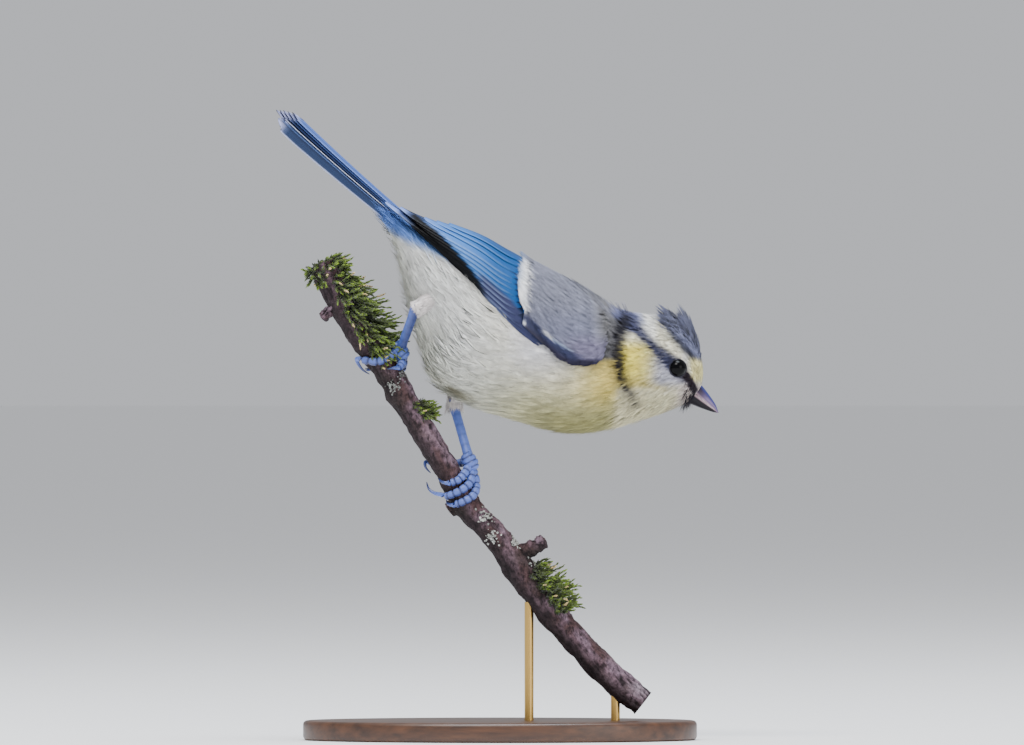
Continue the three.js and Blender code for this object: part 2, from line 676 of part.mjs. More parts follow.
function thigh(leg, grown) {
  const radii = flatCurve(leg.thighRadius.map((r, i) => [i, r]));
  return tube(curveOf(leg.thigh), (t) => radii.getPoint(t).y, 10, 7, grown);
}

// Stand
function standBase() {
  const outline = [];
  const half = BASE.width / 2;
  const { height, bevel } = BASE;
  outline.push([0, 0], [half - bevel * 0.4, 0], [half, bevel * 0.4], [half, height - bevel * 1.6]);
  outline.push([half - bevel * 0.5, height - bevel * 0.6], [half - bevel * 1.6, height], [0, height]);
  const geometry = new THREE.LatheGeometry(outline.map(([r, z]) => new THREE.Vector2(r, z)), 48);
  geometry.rotateX(Math.PI / 2);
  geometry.scale(BASE.length / BASE.width, 1, 1);
  return solidOf(geometry);
}

function rod({ x, radius }) {
  const geometry = new THREE.CylinderGeometry(radius, radius, 60, 14);
  geometry.rotateX(Math.PI / 2);
  geometry.translate(x, 0, BASE.height + GAP + 30);
  const pieces = solidOf(geometry).subtract(twig(GAP)).decompose();
  return pieces.reduce((a, b) => (b.boundingBox().min[2] < a.boundingBox().min[2] ? b : a));
}

// Building the bird
const sides = { right: -1, left: 1 };
const legs = Object.entries(LEGS);
const beds = [wingBed(-1), wingBed(1)];
const legSpace = legs.flatMap(([, leg]) => [thigh(leg, GAP), shank(leg, GAP)]);
const carve = (solid, cutters) => cutters.reduce((left, cutter) => left.subtract(cutter), solid);
const flesh = carve(bodyForm(), [...beds, ...legSpace]);

node("rump", behind(ahead(flesh, CUTS.tail), CUTS.rump), COLOURS.plumage);
node("belly", behind(ahead(flesh, CUTS.rump), CUTS.belly), COLOURS.plumage);
node("breast", behind(ahead(flesh, CUTS.belly), CUTS.neck), COLOURS.plumage);
node("neck", behind(ahead(flesh, CUTS.neck), CUTS.head), COLOURS.plumage);

const skull = joined([ahead(bodyForm(), CUTS.head), ...crest(), lid(-1), lid(1)]);
node("head", carve(skull, [eyeBall(-1, EYE.radius + GAP), eyeBall(1, EYE.radius + GAP)]), COLOURS.head);
for (const [name, side] of Object.entries(sides)) node(`eye_${name}`, eyeBall(side, EYE.radius), COLOURS.eye);

const faceSpace = bodyForm(GAP);
const nostrils = [-1, 1].map((side) =>
  ball(billPoint(NOSTRIL.along, side * BILL.half * 0.8, NOSTRIL.up), point(1, 1, 1).multiplyScalar(NOSTRIL.radius), 8, 6),
);
node("bill_upper", carve(mandible(BILL.upper, true), [faceSpace, ...nostrils]), COLOURS.bill);
node("bill_lower", carve(mandible(BILL.lower, false), [faceSpace]), COLOURS.bill);

const tailRoot = behind(flesh, CUTS.tail);
const tailFeathers = TAIL_LENGTHS.flatMap((_, number) => [tailFeather(number, -1), tailFeather(number, 1)]);
const fan = tailFeathers.map((feather) => behind(feather, CUTS.tail));
node("tail", carve(joined([tailRoot, ...fan]), beds), COLOURS.tail);
for (const [name, side] of Object.entries(sides)) node(`wing_${name}`, wing(side), COLOURS.wing);

for (const [name, leg] of legs) {
  node(`thigh_${name}`, thigh(leg, 0), COLOURS.plumage);
  const foot = (grown) => [palm(leg, grown), ...Object.values(leg.toes).map((toe) => toeTube(toe.path, grown))];
  node(`shank_${name}`, carve(shank(leg, 0), [thigh(leg, GAP), ...foot(GAP)]), COLOURS.leg);
  node(`foot_${name}`, joined(foot(0)), COLOURS.leg);
  for (const [number, toe] of Object.entries(leg.toes)) {
    node(`claw_${name}_${number}`, carve(clawTube(toe.claw, 0), [toeTube(toe.path, GAP)]), COLOURS.claw);
  }
}

// Building the perch and its stand
const feetSpace = legs.flatMap(([, leg]) => [
  palm(leg, GAP),
  shank(leg, GAP),
  ...Object.values(leg.toes).flatMap((toe) => [toeTube(toe.path, GAP), clawTube(toe.claw, GAP)]),
]);
node("perch_twig", carve(twig(), feetSpace), COLOURS.bark);
const mossKeepsOff = [twig(GAP), bodyForm(GAP), ...feetSpace, ...legs.map(([, leg]) => thigh(leg, GAP))];
for (const patch of MOSS) node(`perch_moss_${patch.name}`, carve(moss(patch), mossKeepsOff), COLOURS.moss);
node("stand_base", standBase(), COLOURS.wood);
for (const upright of RODS) node(upright.name, rod(upright), COLOURS.brass);

export default group;
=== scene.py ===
"""A young blue tit at life size, leaning down from a mossy twig on a small oval stand.

Sizes are in millimetres until a mesh is made, and the frame is the solids' own: +Z up, the bird faces +X
and its right side faces -Y, towards the camera. The object's own colours are display values, 0 to 255.
"""

import math

import bpy
import bmesh
import numpy as np
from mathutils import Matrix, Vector, noise


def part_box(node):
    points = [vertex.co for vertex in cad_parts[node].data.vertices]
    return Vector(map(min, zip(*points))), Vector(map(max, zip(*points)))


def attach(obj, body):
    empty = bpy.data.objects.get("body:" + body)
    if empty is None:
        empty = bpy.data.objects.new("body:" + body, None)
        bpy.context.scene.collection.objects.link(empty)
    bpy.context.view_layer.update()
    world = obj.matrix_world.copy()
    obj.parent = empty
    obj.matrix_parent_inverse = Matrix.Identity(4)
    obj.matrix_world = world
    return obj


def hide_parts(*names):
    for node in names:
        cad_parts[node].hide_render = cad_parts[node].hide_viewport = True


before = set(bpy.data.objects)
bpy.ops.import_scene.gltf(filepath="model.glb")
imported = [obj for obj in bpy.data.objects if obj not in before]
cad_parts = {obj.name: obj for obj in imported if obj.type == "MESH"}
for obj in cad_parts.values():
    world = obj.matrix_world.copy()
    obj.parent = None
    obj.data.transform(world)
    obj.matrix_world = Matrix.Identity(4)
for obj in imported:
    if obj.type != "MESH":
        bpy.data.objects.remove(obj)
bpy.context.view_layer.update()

MM = 0.001
HALF_TURN = math.pi
MAP_EDGE = 0.02
rng = np.random.default_rng(11)

# The bird's body: back line, belly line and half width, from the tail coverts to the root of the bill
BACK_LINE = [
    (-24.5, 114.1), (-19.6, 111.1), (-14.5, 108.3), (-8.5, 106.0), (-1.7, 104.5), (5.3, 102.5),
    (11.1, 100.4), (16.6, 97.9), (21.3, 95.1), (25.2, 92.5), (29.8, 91.2), (34.5, 90.6),
    (39.2, 89.1), (42.2, 84.9), (43.3, 79.7), (43.3, 75.5),
]
BELLY_LINE = [
    (-25.4, 110.7), (-23.2, 106.8), (-21.5, 101.9), (-20.5, 95.1), (-17.9, 86.3), (-14.9, 76.8),
    (-7.7, 71.4), (2.6, 68.0), (12.8, 65.2), (22.6, 65.7), (30.3, 68.0), (35.8, 69.9),
    (38.6, 71.0), (39.9, 71.6), (40.5, 72.1), (41.1, 72.5),
]
HALF_WIDTHS = [3.6, 5.4, 8.0, 11.0, 13.4, 14.7, 15.1, 14.7, 13.4, 11.3, 10.0, 9.3, 7.9, 6.0, 4.0, 2.2]
FULLNESS = 0.08

# The folded wing: upper edge, lower edge and reach from the middle plane, shoulder to tip
WING_TOP = [
    (23.9, 93.6), (20.0, 96.2), (16.0, 98.7), (11.9, 100.6), (7.5, 102.5), (2.1, 105.1),
    (-3.2, 107.9), (-8.5, 109.8), (-13.9, 111.5), (-19.2, 113.6), (-24.2, 116.2),
]
WING_LOW = [
    (23.9, 83.6), (20.5, 80.6), (14.9, 80.6), (9.6, 83.8), (4.7, 88.3), (0.0, 92.9),
    (-4.7, 97.7), (-9.6, 102.5), (-14.7, 107.2), (-19.4, 111.4), (-24.2, 115.4),
]
WING_REACH = [12.3, 14.0, 15.2, 15.9, 16.1, 15.6, 14.3, 12.1, 9.4, 6.6, 4.2]
SHOULDER_UPPER = (0.5, 0.05)
SHOULDER_END = 0.4

# Markings in the side view
CAP_EDGE = [(31.9, 92.5), (34.2, 89.4), (36.6, 86.4), (39.0, 83.8), (41.2, 81.4), (43.6, 80.7)]
EYE_STRIPE = [
    (26.8, 90.6), (29.4, 87.4), (31.6, 84.9), (33.8, 82.7), (36.2, 80.6), (37.8, 79.2), (39.3, 77.7),
    (40.4, 76.3), (41.4, 74.6),
]
EYE_STRIPE_HALF = [1.5, 1.05, 0.95, 1.2, 1.6, 1.5, 0.95, 0.75, 0.65]
COLLAR = [
    (26.2, 89.4), (25.4, 86.2), (25.0, 83.0), (25.3, 80.0), (25.9, 77.2), (26.8, 75.0), (27.9, 73.0),
    (28.9, 71.2),
]
COLLAR_HALF = [1.5, 1.4, 1.4, 1.3, 1.1, 0.9, 0.85, 0.8]
NAPE = [(25.6, 91.0), (27.6, 90.6), (28.4, 89.2)]
NAPE_HALF = [1.7, 2.4, 2.2]
CHEEK_FOLD = [(27.6, 76.4), (30.5, 75.8), (34.8, 74.9)]
BROW_EDGE = [(26, 95.0), (29.8, 88.2), (33.0, 84.6), (36.0, 82.1), (39.0, 80.6), (41.0, 77.0), (43.5, 74.0)]
BAR_FOOT = 90.8
SHOULDER_HEIGHTS = [80.0, 86.0, BAR_FOOT]
SHOULDER_REAR = [12.0, 8.5, 5.3]
BAR_HEIGHTS = [BAR_FOOT, 92.5, 96.0, 100.5, 101.6]
BAR_REAR = [5.3, 4.2, 3.7, 4.3, 4.9]
BAR_FRONT = [5.7, 5.8, 5.9, 6.2, 6.2]
WING_SLOT = [(-21.0, 113.6), (-15.0, 108.8), (-10.0, 104.4), (-7.6, 101.6)]
RUMP_EDGE = [
    (-33.0, 113.6), (-29.0, 112.0), (-25.8, 110.2), (-20.3, 106.4), (-15.0, 104.3), (-11.5, 102.6),
    (-8.0, 102.0),
]


def spline(points, t):
    """A smooth line through points, read at share t of its stations and straight beyond its ends."""
    points = np.asarray(points, float)
    if points.ndim == 1:
        points = points[:, None]
    last = len(points) - 1
    place = np.asarray(t, float) * last
    held = np.clip(place, 0, last)
    i = np.minimum(held.astype(int), last - 1)
    w = (held - i)[..., None]
    a, b = points[np.maximum(i - 1, 0)], points[i]
    c, d = points[i + 1], points[np.minimum(i + 2, last)]
    start, end = (c - a) / 2, (d - b) / 2
    line = (2 * b - 2 * c + start + end) * w**3 + (3 * c - 3 * b - 2 * start - end) * w**2 + start * w + b
    past = (place - held)[..., None]
    slope = np.where(past < 0, points[1] - points[0], points[-1] - points[-2])
    return line + past * slope


def ramp(low, high, x):
    """Rises smoothly from 0 at low to 1 at high."""
    s = np.clip((np.asarray(x, float) - low) / (high - low), 0, 1)
    return s * s * (3 - 2 * s)


def unit(v):
    """Vectors brought to a length of 1."""
    return v / np.maximum(np.linalg.norm(v, axis=-1, keepdims=True), 1e-9)


def stroke(x, z, line, half, soft=0.45):
    """1 on a stroke of changing half width along a line in the side view, 0 off it."""
    line, half = np.asarray(line, float), np.asarray(half, float)
    point = np.stack([x, z], -1)
    nearest = np.full(x.shape, 1e9)
    for i in range(len(line) - 1):
        run = line[i + 1] - line[i]
        s = np.clip(((point - line[i]) @ run) / (run @ run), 0, 1)
        gap = np.linalg.norm(point - line[i] - s[..., None] * run, axis=-1)
        nearest = np.minimum(nearest, gap - (half[i] + s * (half[i + 1] - half[i])))
    return 1 - ramp(-soft, soft, nearest)


def above(x, z, line, soft):
    """1 above a line in the side view, 0 below it."""
    line = np.asarray(line, float)
    order = np.argsort(line[:, 0])
    return ramp(-soft, soft, z - np.interp(x, line[order, 0], line[order, 1]))


def bar_rear(z):
    """How far back the shoulder feathers reach: the white bar's rear edge, and the shoulder's below it."""
    shoulder = np.interp(z, SHOULDER_HEIGHTS, SHOULDER_REAR)
    return np.where(z < BAR_FOOT, shoulder, np.interp(z, BAR_HEIGHTS, BAR_REAR))


def mix(base, colour, share):
    """A share of the way from the base colours to a colour."""
    return base + (np.asarray(colour, float) - base) * np.asarray(share)[..., None]


def plain(points, colour):
    """One colour for every point."""
    return np.zeros(points.shape) + np.array(colour, float)


def inset(share):
    """A share of the map's side, kept in from its edges."""
    return MAP_EDGE + (1 - 2 * MAP_EDGE) * share


def linear(colour):
    """Display values from 0 to 255 as the light values that a shader takes."""
    c = np.clip(np.asarray(colour, float) / 255, 0, 1)
    return np.where(c <= 0.04045, c / 12.92, ((c + 0.055) / 1.055) ** 2.4)


def body(t, a, out=0.0):
    """A point of the body: share t from the tail to the bill, a radians round from the back towards +Y."""
    back, belly = spline(BACK_LINE, t), spline(BELLY_LINE, t)
    half = spline(HALF_WIDTHS, t)[..., 0]
    middle, up = (back + belly) / 2, (back - belly) / 2
    grown = 1 + out / np.linalg.norm(up, axis=-1)
    x = middle[..., 0] + up[..., 0] * grown * np.cos(a)
    z = middle[..., 1] + up[..., 1] * grown * np.cos(a)
    y = (half + out) * np.sin(a) * (1 - FULLNESS * np.cos(a))
    ends = spline(BACK_LINE, np.array([0.0, 0.02])) + spline(BELLY_LINE, np.array([0.0, 0.02]))
    run = (ends[1] - ends[0]) / 0.04
    beyond = np.minimum(t, 0.0)
    return np.stack([x + beyond * run[0], y, z + beyond * run[1]], -1)


def wing_face(u, v, side):
    """The folded wing's outer face: share u from shoulder to tip, v round from its upper edge."""
    turn = np.asarray(v, float) * HALF_TURN / 2
    top, low = spline(WING_TOP, u), spline(WING_LOW, u)
    place = top + (low - top) * (1 - np.cos(turn))[..., None]
    reach = spline(WING_REACH, u)[..., 0]
    return np.stack([place[..., 0], side * reach * np.sin(turn), place[..., 1]], -1)


def wing(side):
    """The wing's face as a place(u, v, out) function."""
    def place(u, v, out=0.0):
        step = 0.01
        u, v = np.broadcast_arrays(np.asarray(u, float), np.asarray(v, float))
        along = wing_face(u + step, v, side) - wing_face(u - step, v, side)
        round_ = wing_face(u, v + step, side) - wing_face(u, v - step, side)
        normal = unit(np.cross(along, round_)) * -side
        return wing_face(u, v, side) + normal * np.asarray(out)[..., None]
    return place


def wing_cover(x, z):
    """Where a side-view point lies on the folded wing: its u and v, with v beyond 1 off the lower edge."""
    u = np.linspace(0, 1, 161)
    top, low = spline(WING_TOP, u), spline(WING_LOW, u)
    down = low - top
    point = np.stack([x, z], -1)[:, None]
    off = (point[..., 0] - top[:, 0]) * down[:, 1] - (point[..., 1] - top[:, 1]) * down[:, 0]
    best = np.abs(off / np.linalg.norm(down, axis=-1)).argmin(1)
    s = ((point[:, 0] - top[best]) * down[best]).sum(-1) / (down[best] ** 2).sum(-1)
    v = np.where(s > 1, 1 + (s - 1), np.arccos(1 - np.clip(s, 0, 1)) / (HALF_TURN / 2))
    away = np.abs(off[np.arange(len(best)), best] / np.linalg.norm(down[best], axis=-1))
    return u[best], np.where(s < 0, -1, v), away


def under_wing(points):
    """1 where a point of the body lies under the folded wing, 0 where it is bare."""
    flat = points.reshape(-1, 3)
    u, v, away = wing_cover(flat[:, 0], flat[:, 2])
    upper = np.interp(u / SHOULDER_END, [0, 1], SHOULDER_UPPER)
    inside = ramp(upper - 0.02, upper + 0.08, v) * (1 - ramp(0.96, 1.0, v)) * (1 - ramp(0.3, 1.0, away))
    return (inside * ramp(0.02, 0.06, u)).reshape(points.shape[:-1])


# Colours of the plumage

SLATE = (112, 116, 146)
BLACKISH = (22, 21, 30)
YELLOW = (246, 228, 122)
CREAM = (240, 232, 200)
WHITE = (240, 241, 238)
PALE_GREY = (198, 198, 214)
MANTLE = (124, 126, 142)
MANTLE_OLIVE = (118, 116, 112)
RUMP_BLUE = (116, 160, 240)
FOREHEAD = (236, 224, 160)
BREAST_CREAM = (234, 225, 186)
BREAST_GOLD = (240, 214, 108)
UNDER_SHADE = (152, 148, 84)
FLANK_WHITE = (234, 234, 246)
RUMP_SHADE = (98, 134, 212)
WING_SLOT_SHADOW = (16, 17, 24)
BELLY_HOLLOW_SHADOW = (74, 68, 44)
CHEEK_GOLD = (242, 222, 84)
CHEEK_SHADE = (176, 158, 84)
CHEEK_PALE = (244, 238, 204)
THROAT_CREAM = (226, 218, 178)
FOLD_GOLD = (196, 178, 104)
BROW_WHITE = (242, 240, 234)
LORE_PINK = (228, 214, 206)
CAP_RIM = (46, 48, 60)
NAPE_BLUE = (92, 97, 136)
NAPE_PALE = (140, 146, 190)
STRIPE_BLUE = (58, 60, 86)
STRIPE_FRONT = (44, 34, 44)
SHOULDER_GREY = (116, 119, 142)
SHOULDER_MAUVE = (124, 118, 146)
STRIP_BLUE = (54, 58, 88)
STRIP_DARK = (44, 42, 62)
COVERT_BLUE = (82, 112, 156)
BAR_WHITE = (250, 251, 255)
SPOT_WHITE = (244, 246, 252)
SPOT_BLUE = (170, 188, 218)
SPOT_PALE = (236, 240, 248)


def plumage(points, normals):
    """The plumage's colour at points of the body, with the side that each faces."""
    x, y, z = points[..., 0], points[..., 1], points[..., 2]
    colour = plain(points, WHITE)
    breast = ramp(-9.0, 16.0, x)
    colour = mix(colour, BREAST_CREAM, breast * 0.85)
    gold = ramp(13.0, 23.0, x) * ramp(67.5, 74.0, z) * (1 - ramp(25.0, 26.0, x))
    colour = mix(colour, BREAST_GOLD, gold * 0.85)
    under = ramp(-0.15, -0.9, normals[..., 2])
    colour = mix(colour, UNDER_SHADE, under * (0.2 + 0.55 * breast) * (1 - ramp(27, 34, x)))
    flank = ramp(0.0, 6.0, x) * (1 - ramp(13.0, 20.0, x)) * ramp(74.0, 83.0, z)
    colour = mix(colour, FLANK_WHITE, flank * 0.8)
    # Back
    edge = np.interp(x, [-5.0, 5.0, 14.0, 20.0, 24.5], [101.0, 90.0, 82.2, 80.8, 81.6])
    back = ramp(-0.8, 0.8, z - edge) * (1 - ramp(24.6, 25.8, x)) * ramp(-13.0, -9.0, x)
    colour = mix(colour, MANTLE, back)
    colour = mix(colour, MANTLE_OLIVE, back * ramp(17.0, 23.0, x) * 0.7)
    rump = above(x, z, RUMP_EDGE, 0.6) * (1 - ramp(-13.0, -8.0, x))
    colour = mix(colour, RUMP_BLUE, rump)
    colour = mix(colour, RUMP_SHADE, rump * ramp(-16.0, -24.0, x) * 0.8)
    # Painted shadow in the slot under the wing's lower edge, on the body's sides between the wing and the
    # rump.
    slot_shadow = stroke(x, z, WING_SLOT, [0.25, 0.8, 0.9, 0.6], 0.3)
    colour = mix(colour, WING_SLOT_SHADOW, slot_shadow * ramp(3.6, 5.0, np.abs(y)))
    # Painted shadow in the hollow between the belly and the left thigh.
    hollow_shadow = stroke(x, z, [(-11.5, 75.2), (-7.4, 72.8)], [0.5, 0.9], 0.7)
    colour = mix(colour, BELLY_HOLLOW_SHADOW, hollow_shadow * 0.8)
    # Head
    head = ramp(25.2, 26.0, x - 0.12 * (z - 80))
    colour = mix(colour, CREAM, head)
    cheek = (1 - ramp(29.0, 34.0, x - 0.15 * (z - 78))) * ramp(74.3, 76.5, z) * (1 - ramp(83, 87.5, z))
    colour = mix(colour, YELLOW, head * cheek)
    colour = mix(colour, CHEEK_GOLD, head * cheek * (1 - ramp(28.2, 30.6, x)) * ramp(77.0, 79.0, z) * 0.6)
    colour = mix(colour, CHEEK_SHADE, head * cheek * ramp(29.0, 31.0, x) * (1 - ramp(77.5, 80.0, z)) * 0.4)
    colour = mix(colour, CHEEK_PALE, head * ramp(83.0, 86.5, z) * (1 - ramp(30.0, 32.5, x)))
    near_eye = ramp(31.2, 34.2, x) * ramp(74.4, 76.6, z) * (1 - ramp(84.0, 86.0, z + 0.8 * (x - 35)))
    colour = mix(colour, PALE_GREY, head * near_eye * 0.95)
    colour = mix(colour, THROAT_CREAM, head * (1 - ramp(72.6, 75.2, z)) * (1 - ramp(36.0, 38.5, x)))
    colour = mix(colour, FOLD_GOLD, stroke(x, z, CHEEK_FOLD, [0.35, 0.5, 0.3], 0.6) * 0.75)
    brow = above(x, z, BROW_EDGE, 0.35)
    colour = mix(colour, BROW_WHITE, head * brow * ramp(29.8, 30.8, x))
    colour = mix(colour, FOREHEAD, head * ramp(39.6, 41.2, x) * ramp(75.2, 77.2, z))
    colour = mix(colour, FOREHEAD, head * brow * ramp(32.5, 34.0, x) * (1 - ramp(38.0, 39.5, x)) * 0.35)
    colour = mix(colour, LORE_PINK, ramp(37.2, 38.6, x) * (1 - ramp(75.0, 76.4, z)))
    cap = above(x, z, CAP_EDGE, 0.35) * ramp(32.2, 33.2, x + 0.35 * (z - 91))
    colour = mix(colour, SLATE, cap)
    colour = mix(colour, CAP_RIM, stroke(x, z, CAP_EDGE[1:5], [0.2, 0.55, 0.75, 0.4], 0.5) * 0.85)
    colour = mix(colour, NAPE_BLUE, stroke(x, z, NAPE, NAPE_HALF, 0.5))
    colour = mix(colour, NAPE_PALE, stroke(x, z, NAPE, NAPE_HALF, 0.5) * ramp(89.5, 91.5, z) * 0.6)
    stripe = stroke(x, z, EYE_STRIPE, EYE_STRIPE_HALF, 0.35)
    colour = mix(colour, STRIPE_BLUE, stripe)
    colour = mix(colour, STRIPE_FRONT, stripe * ramp(37.8, 39.0, x))
    collar = stroke(x, z, COLLAR, COLLAR_HALF, 0.4)
    return mix(colour, BLACKISH, collar * (0.97 - 0.3 * (1 - ramp(73.0, 76.5, z))))


def scapulars(points):
    """The colour of the soft grey feathers over the shoulder, with the white bar at their end."""
    x, z = points[..., 0], points[..., 2]
    colour = plain(points, MANTLE)
    colour = mix(colour, SHOULDER_GREY, ramp(95.0, 87.0, z) * 0.8)
    colour = mix(colour, SHOULDER_MAUVE, ramp(12.0, 17.0, x) * ramp(88.0, 83.5, z) * 0.8)
    colour = mix(colour, MANTLE_OLIVE, ramp(18.5, 23.0, x) * ramp(83.0, 88.0, z) * 0.8)
    strip = ramp(0.5, -0.5, z - np.interp(x, [1.0, 6.0, 10.0, 14.5, 17.0], [95.0, 90.2, 86.6, 83.2, 81.6]))
    colour = mix(colour, STRIP_BLUE, strip * (1 - ramp(15.5, 18.0, x)))
    foot = ramp(0.3, -1.0, z - np.interp(x, [1.0, 6.0, 14.5], [93.4, 88.2, 81.4]))
    colour = mix(colour, STRIP_DARK, strip * foot)
    colour = mix(colour, COVERT_BLUE, (1 - ramp(3.4, 5.4, x)) * ramp(88.5, 90.0, z))
    bar = ramp(-0.35, 0.15, x - bar_rear(z)) * ramp(0.4, -0.4, x - np.interp(z, BAR_HEIGHTS, BAR_FRONT))
    colour = mix(colour, BAR_WHITE, bar * ramp(90.2, 91.2, z) * (1 - ramp(101.8, 102.8, z)))
    spot = stroke(x, z, [(9.5, 86.9), (10.9, 85.7)], [0.4, 0.25], 0.3)
    colour = mix(colour, SPOT_WHITE, spot)
    colour = mix(colour, SPOT_BLUE, stroke(x, z, [(11.2, 85.4), (14.4, 83.2)], [0.2, 0.2], 0.3) * 0.9)
    return mix(colour, SPOT_PALE, stroke(x, z, [(5.0, 89.2), (5.2, 88.5)], [0.3, 0.3], 0.3))


# Meshes


def mesh_piece(name, points, faces, colour=None, uv=None, smooth=True, normals=None):
    """A piece from points in mm and faces, painted by vertex."""
    mesh = bpy.data.meshes.new(name)
    mesh.from_pydata((points.reshape(-1, 3) * MM).tolist(), [], [list(map(int, f)) for f in faces])
    if colour is not None:
        paint_mesh(mesh, colour)
    if uv is not None:
        map_mesh(mesh, uv)
    if smooth:
        mesh.shade_smooth()
    if normals is not None:
        mesh.normals_split_custom_set_from_vertices(normals.reshape(-1, 3).tolist())
    piece = bpy.data.objects.new(name, mesh)
    bpy.context.scene.collection.objects.link(piece)
    return piece


def paint_mesh(mesh, colour):
    """Gives each vertex its colour, from display values."""
    paint = mesh.color_attributes.new("paint", "FLOAT_COLOR", "POINT")
    rgba = np.ones((len(mesh.vertices), 4), np.float32)
    rgba[:, :3] = linear(colour.reshape(-1, 3))
    paint.data.foreach_set("color", rgba.ravel())


def map_mesh(mesh, uv):
    """Gives each vertex its place on the map."""
    corner = np.zeros(len(mesh.loops), np.int32)
    mesh.loops.foreach_get("vertex_index", corner)
    layer = mesh.uv_layers.new(name="OFBake")
    layer.data.foreach_set("uv", uv.reshape(-1, 2)[corner].astype(np.float32).ravel())


def mesh_points(mesh):
    """A mesh's vertices as rows of x, y and z."""
    points = np.zeros(len(mesh.vertices) * 3)
    mesh.vertices.foreach_get("co", points)
    return points.reshape(-1, 3)


def place_points(mesh, points):
    """Lays a mesh's vertices at places in mm, and turns its faces out where they face in."""
    mesh.vertices.foreach_set("co", (points * MM).astype(np.float32).ravel())
    mesh.update()
    mesh.calc_loop_triangles()
    corners = np.zeros(len(mesh.loop_triangles) * 3, np.int32)
    mesh.loop_triangles.foreach_get("vertices", corners)
    a, b, c = points[corners.reshape(-1, 3)].transpose(1, 0, 2)
    if (a * np.cross(b, c)).sum() < 0:
        mesh.flip_normals()


def sleeve(ring, colour, uv=None, barb=None):
    """A closed tube: a cylinder cut into rings, with every ring's points laid where ring says."""
    rows, around = ring.shape[:2]
    bpy.ops.object.select_all(action="DESELECT")
    bpy.ops.mesh.primitive_cylinder_add(vertices=around, radius=1.0, depth=2.0, location=(0, 0, 0))
    tube = bpy.context.object
    mesh = tube.data
    bpy.ops.object.mode_set(mode="EDIT")
    bpy.ops.mesh.select_mode(type="EDGE")
    bpy.ops.mesh.select_all(action="DESELECT")
    shape = bmesh.from_edit_mesh(mesh)
    for edge in shape.edges:
        edge.select_set(abs(edge.verts[0].co.z - edge.verts[1].co.z) > 1.0)
    bmesh.update_edit_mesh(mesh)
    bpy.ops.mesh.subdivide(number_cuts=rows - 2)
    bpy.ops.object.mode_set(mode="OBJECT")
    here = mesh_points(mesh)
    row = np.rint((here[:, 2] + 1) / 2 * (rows - 1)).astype(int)
    column = np.rint(np.arctan2(here[:, 0], here[:, 1]) / (2 * HALF_TURN) * around).astype(int) % around
    place_points(mesh, ring[row, column])
    paint_mesh(mesh, colour[row, column])
    mesh.uv_layers.remove(mesh.uv_layers[0])
    if uv is not None:
        map_mesh(mesh, uv[row, column])
    if barb is not None:
        layer = mesh.attributes.new("barb", "FLOAT", "POINT")
        layer.data.foreach_set("value", barb[row, column].astype(np.float32))
    mesh.shade_smooth()
    return tube


def settled(name):
    """Names the newest primitive and puts its place, turn and size in its mesh."""
    made = bpy.context.object
    made.name = name
    bpy.ops.object.transform_apply(location=True, rotation=True, scale=True)
    return made


def joined(name, tubes):
    """Joins tubes into one piece."""
    bpy.ops.object.select_all(action="DESELECT")
    for tube in tubes:
        tube.select_set(True)
    bpy.context.view_layer.objects.active = tubes[0]
    if len(tubes) > 1:
        bpy.ops.object.join()
    piece = bpy.context.object
    piece.name = piece.data.name = name
    return piece


def finish_piece(piece, material, slot_name, *nodes):
    """Gives a piece its material, hangs it from the root and hides the solids that it stands for; its slot
    name is not used.
    """
    piece.data.materials.clear()
    piece.data.materials.append(material)
    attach(piece, "root")
    if nodes:
        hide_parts(*nodes)
    return piece


def tube_points(line, radius, rows, around, flat=1.0):
    """Rings of points round a line of places, with its ends rounded off by the radius given."""
    t = np.linspace(0, 1, rows)
    middle = spline(line, t)
    tangent = unit(np.gradient(middle, axis=0))
    guide = np.cross(tangent, [0.0, 1.0, 0.0])
    first = unit(guide)
    second = np.cross(tangent, first)
    a = np.linspace(0, 2 * HALF_TURN, around, endpoint=False)
    ring = first[:, None] * np.cos(a)[None, :, None] + second[:, None] * np.sin(a)[None, :, None] * flat
    return middle[:, None] + ring * np.asarray(radius(t))[:, None, None], t


# Small feathers

TEMPLATES = 5
MAP_SPOT = 0.003


def feather_shape(barbs, deep, ragged, slim=1.0, cup=0.05):
    """A small feather as points along, across and up, its two faces fanned from hubs inside one rim."""
    hub = np.array([0.28, 0.0])
    fan = np.linspace(-1, 1, barbs) * HALF_TURN / 2
    tips = np.stack([0.56 + 0.44 * np.cos(fan), 0.5 * np.sin(fan) * slim], -1)
    tips[:, 0] += rng.uniform(-ragged, ragged * 0.4, barbs)
    tips[:, 1] += rng.uniform(-ragged, ragged, barbs) * 0.3 / barbs
    depth = deep * rng.uniform(0.8, 1.1, barbs - 1)
    notches = hub + ((tips[:-1] + tips[1:]) / 2 - hub) * (1 - depth)[:, None]
    rim = [(0.0, 0.0), (0.2, -0.26 * slim)]
    for i in range(barbs):
        rim.append(tuple(tips[i]))
        if i < barbs - 1:
            rim.append(tuple(notches[i]))
    rim.append((0.2, 0.26 * slim))
    count = len(rim)
    points = [(x, y, -cup * (2 * y) ** 2) for x, y in rim] + [(*hub, 0.06), (*hub, -0.03)]
    faces = [(count, i, (i + 1) % count) for i in range(count)]
    faces += [(count + 1, (i + 1) % count, i) for i in range(count)]
    return np.array(points), np.array(faces)


def strand_shape(strands, ragged):
    """A wisp of a few long loose barbs."""
    return feather_shape(strands, 0.86, ragged, 1.0, 0.02)


